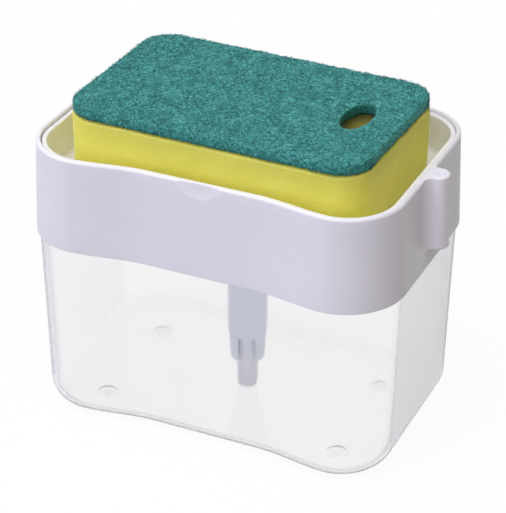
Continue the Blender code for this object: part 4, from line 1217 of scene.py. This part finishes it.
def make_camera():
    data = bpy.data.cameras.new("camera")
    camera = placed("camera", data)
    data.sensor_width = SENSOR
    data.lens = FOCAL_PIXELS * SENSOR / FRAME_PIXELS
    data.shift_y = CENTRE_SHIFT_PIXELS / FRAME_PIXELS
    back = Vector((
        math.sin(CAMERA_AZIMUTH) * math.cos(CAMERA_ELEVATION),
        -math.cos(CAMERA_AZIMUTH) * math.cos(CAMERA_ELEVATION),
        math.sin(CAMERA_ELEVATION),
    ))
    camera.location = CAMERA_TARGET + back * CAMERA_DISTANCE
    camera.rotation_mode = "QUATERNION"
    aim = (-back).to_track_quat("-Z", "Y")
    camera.rotation_quaternion = aim @ Quaternion((0, 0, 1), CAMERA_ROLL)
    data.clip_start = CAMERA_NEAR
    data.clip_end = CAMERA_FAR
    bpy.context.scene.camera = camera


# Light from all round: an even part and lobes with their aim, power and colour, one from overhead,
# a cool one from the left front and a weak warm one from the right
WORLD_EVEN = (0.01, 0.015, 0.015)
WORLD_LOBES = (
    ((-0.10, -0.15, 1.0), 8.0, (2.30, 2.30, 2.24)),
    ((-0.60, -0.80, 0.40), 1.5, (1.28, 1.28, 1.60)),
    ((0.60, -0.70, 0.40), 1.5, (0.53, 0.465, 0.40)),
)


def world_lobe(tree, direction, aim, power, colour):
    """Light that falls off from the aimed direction as a power of the cosine."""
    cosine = fed(tree, "VectorMath", direction, Vector(aim).normalized(), operation="DOT_PRODUCT")
    front = fed(tree, "Math", cosine.outputs["Value"], 0.0, operation="MAXIMUM")
    falloff = fed(tree, "Math", front.outputs["Value"], power, operation="POWER")
    return fed(tree, "Background", (*colour, 1.0), falloff.outputs["Value"]).outputs["Background"]


def seen_directly(tree):
    """One where the background is seen by the camera, through the tank or as a reflection."""
    path = new_node(tree, "LightPath")
    total = path.outputs["Is Camera Ray"]
    for ray in ("Is Transmission Ray", "Is Glossy Ray"):
        total = fed(tree, "Math", total, path.outputs[ray], operation="MAXIMUM").outputs["Value"]
    return total


def sum_of(tree, first, second):
    return fed(tree, "AddShader", first, second).outputs["Shader"]


def end_with(tree, output, light, backdrop):
    """Ends the tree: one shader lights the object, and the other is what is seen of the backdrop."""
    mix = fed(tree, "MixShader", seen_directly(tree), light, backdrop)
    fed(tree, output, mix.outputs["Shader"])


def make_world():
    """A soft studio whose backdrop is white."""
    world = bpy.data.worlds.new("studio")
    bpy.context.scene.world = world
    world.use_nodes = True
    tree = world.node_tree
    tree.nodes.clear()
    direction = new_node(tree, "TexCoord").outputs["Generated"]
    light = new_node(tree, "Background", {"Color": (*WORLD_EVEN, 1.0)}).outputs["Background"]
    for lobe in WORLD_LOBES:
        light = sum_of(tree, light, world_lobe(tree, direction, *lobe))
    white = new_node(tree, "Background", {"Color": (1, 1, 1, 1)})
    end_with(tree, "OutputWorld", light, white.outputs["Background"])


# Floor: how bright it is seen, and how much of the light it gives back to the object
FLOOR_HALF = 3.0
FLOOR_GLOW = 0.93
FLOOR_BOUNCE = (0.165, 0.16, 0.15)


def make_floor():
    """A pale floor that reads as white to the camera and keeps a faint shadow."""
    bm = bmesh.new()
    corners = ((-1, -1), (1, -1), (1, 1), (-1, 1))
    bm.faces.new([bm.verts.new((x * FLOOR_HALF, y * FLOOR_HALF, 0)) for x, y in corners])
    mesh = bpy.data.meshes.new("floor")
    bm.to_mesh(mesh)
    bm.free()
    floor = placed("floor", mesh)
    material = bpy.data.materials.new("floor")
    material.use_nodes = True
    tree = material.node_tree
    tree.nodes.clear()
    matt = new_node(tree, "BsdfDiffuse", {"Color": (*FLOOR_BOUNCE, 1)})
    rest = 1 - FLOOR_GLOW
    faint = new_node(tree, "BsdfDiffuse", {"Color": (rest, rest, rest, 1)})
    glow = new_node(tree, "Emission", {"Strength": FLOOR_GLOW})
    seen = sum_of(tree, faint.outputs["BSDF"], glow.outputs["Emission"])
    end_with(tree, "OutputMaterial", matt.outputs["BSDF"], seen)
    mesh.materials.append(material)


make_camera()
make_world()
make_floor()
make_tank()
make_collar()
make_tray()
make_barrel()
make_tube()
make_spring()
make_foam()
make_pad()
finish_cad_pieces()
bpy.context.scene.view_settings.view_transform = "Standard"

bpy.context.view_layer.update()
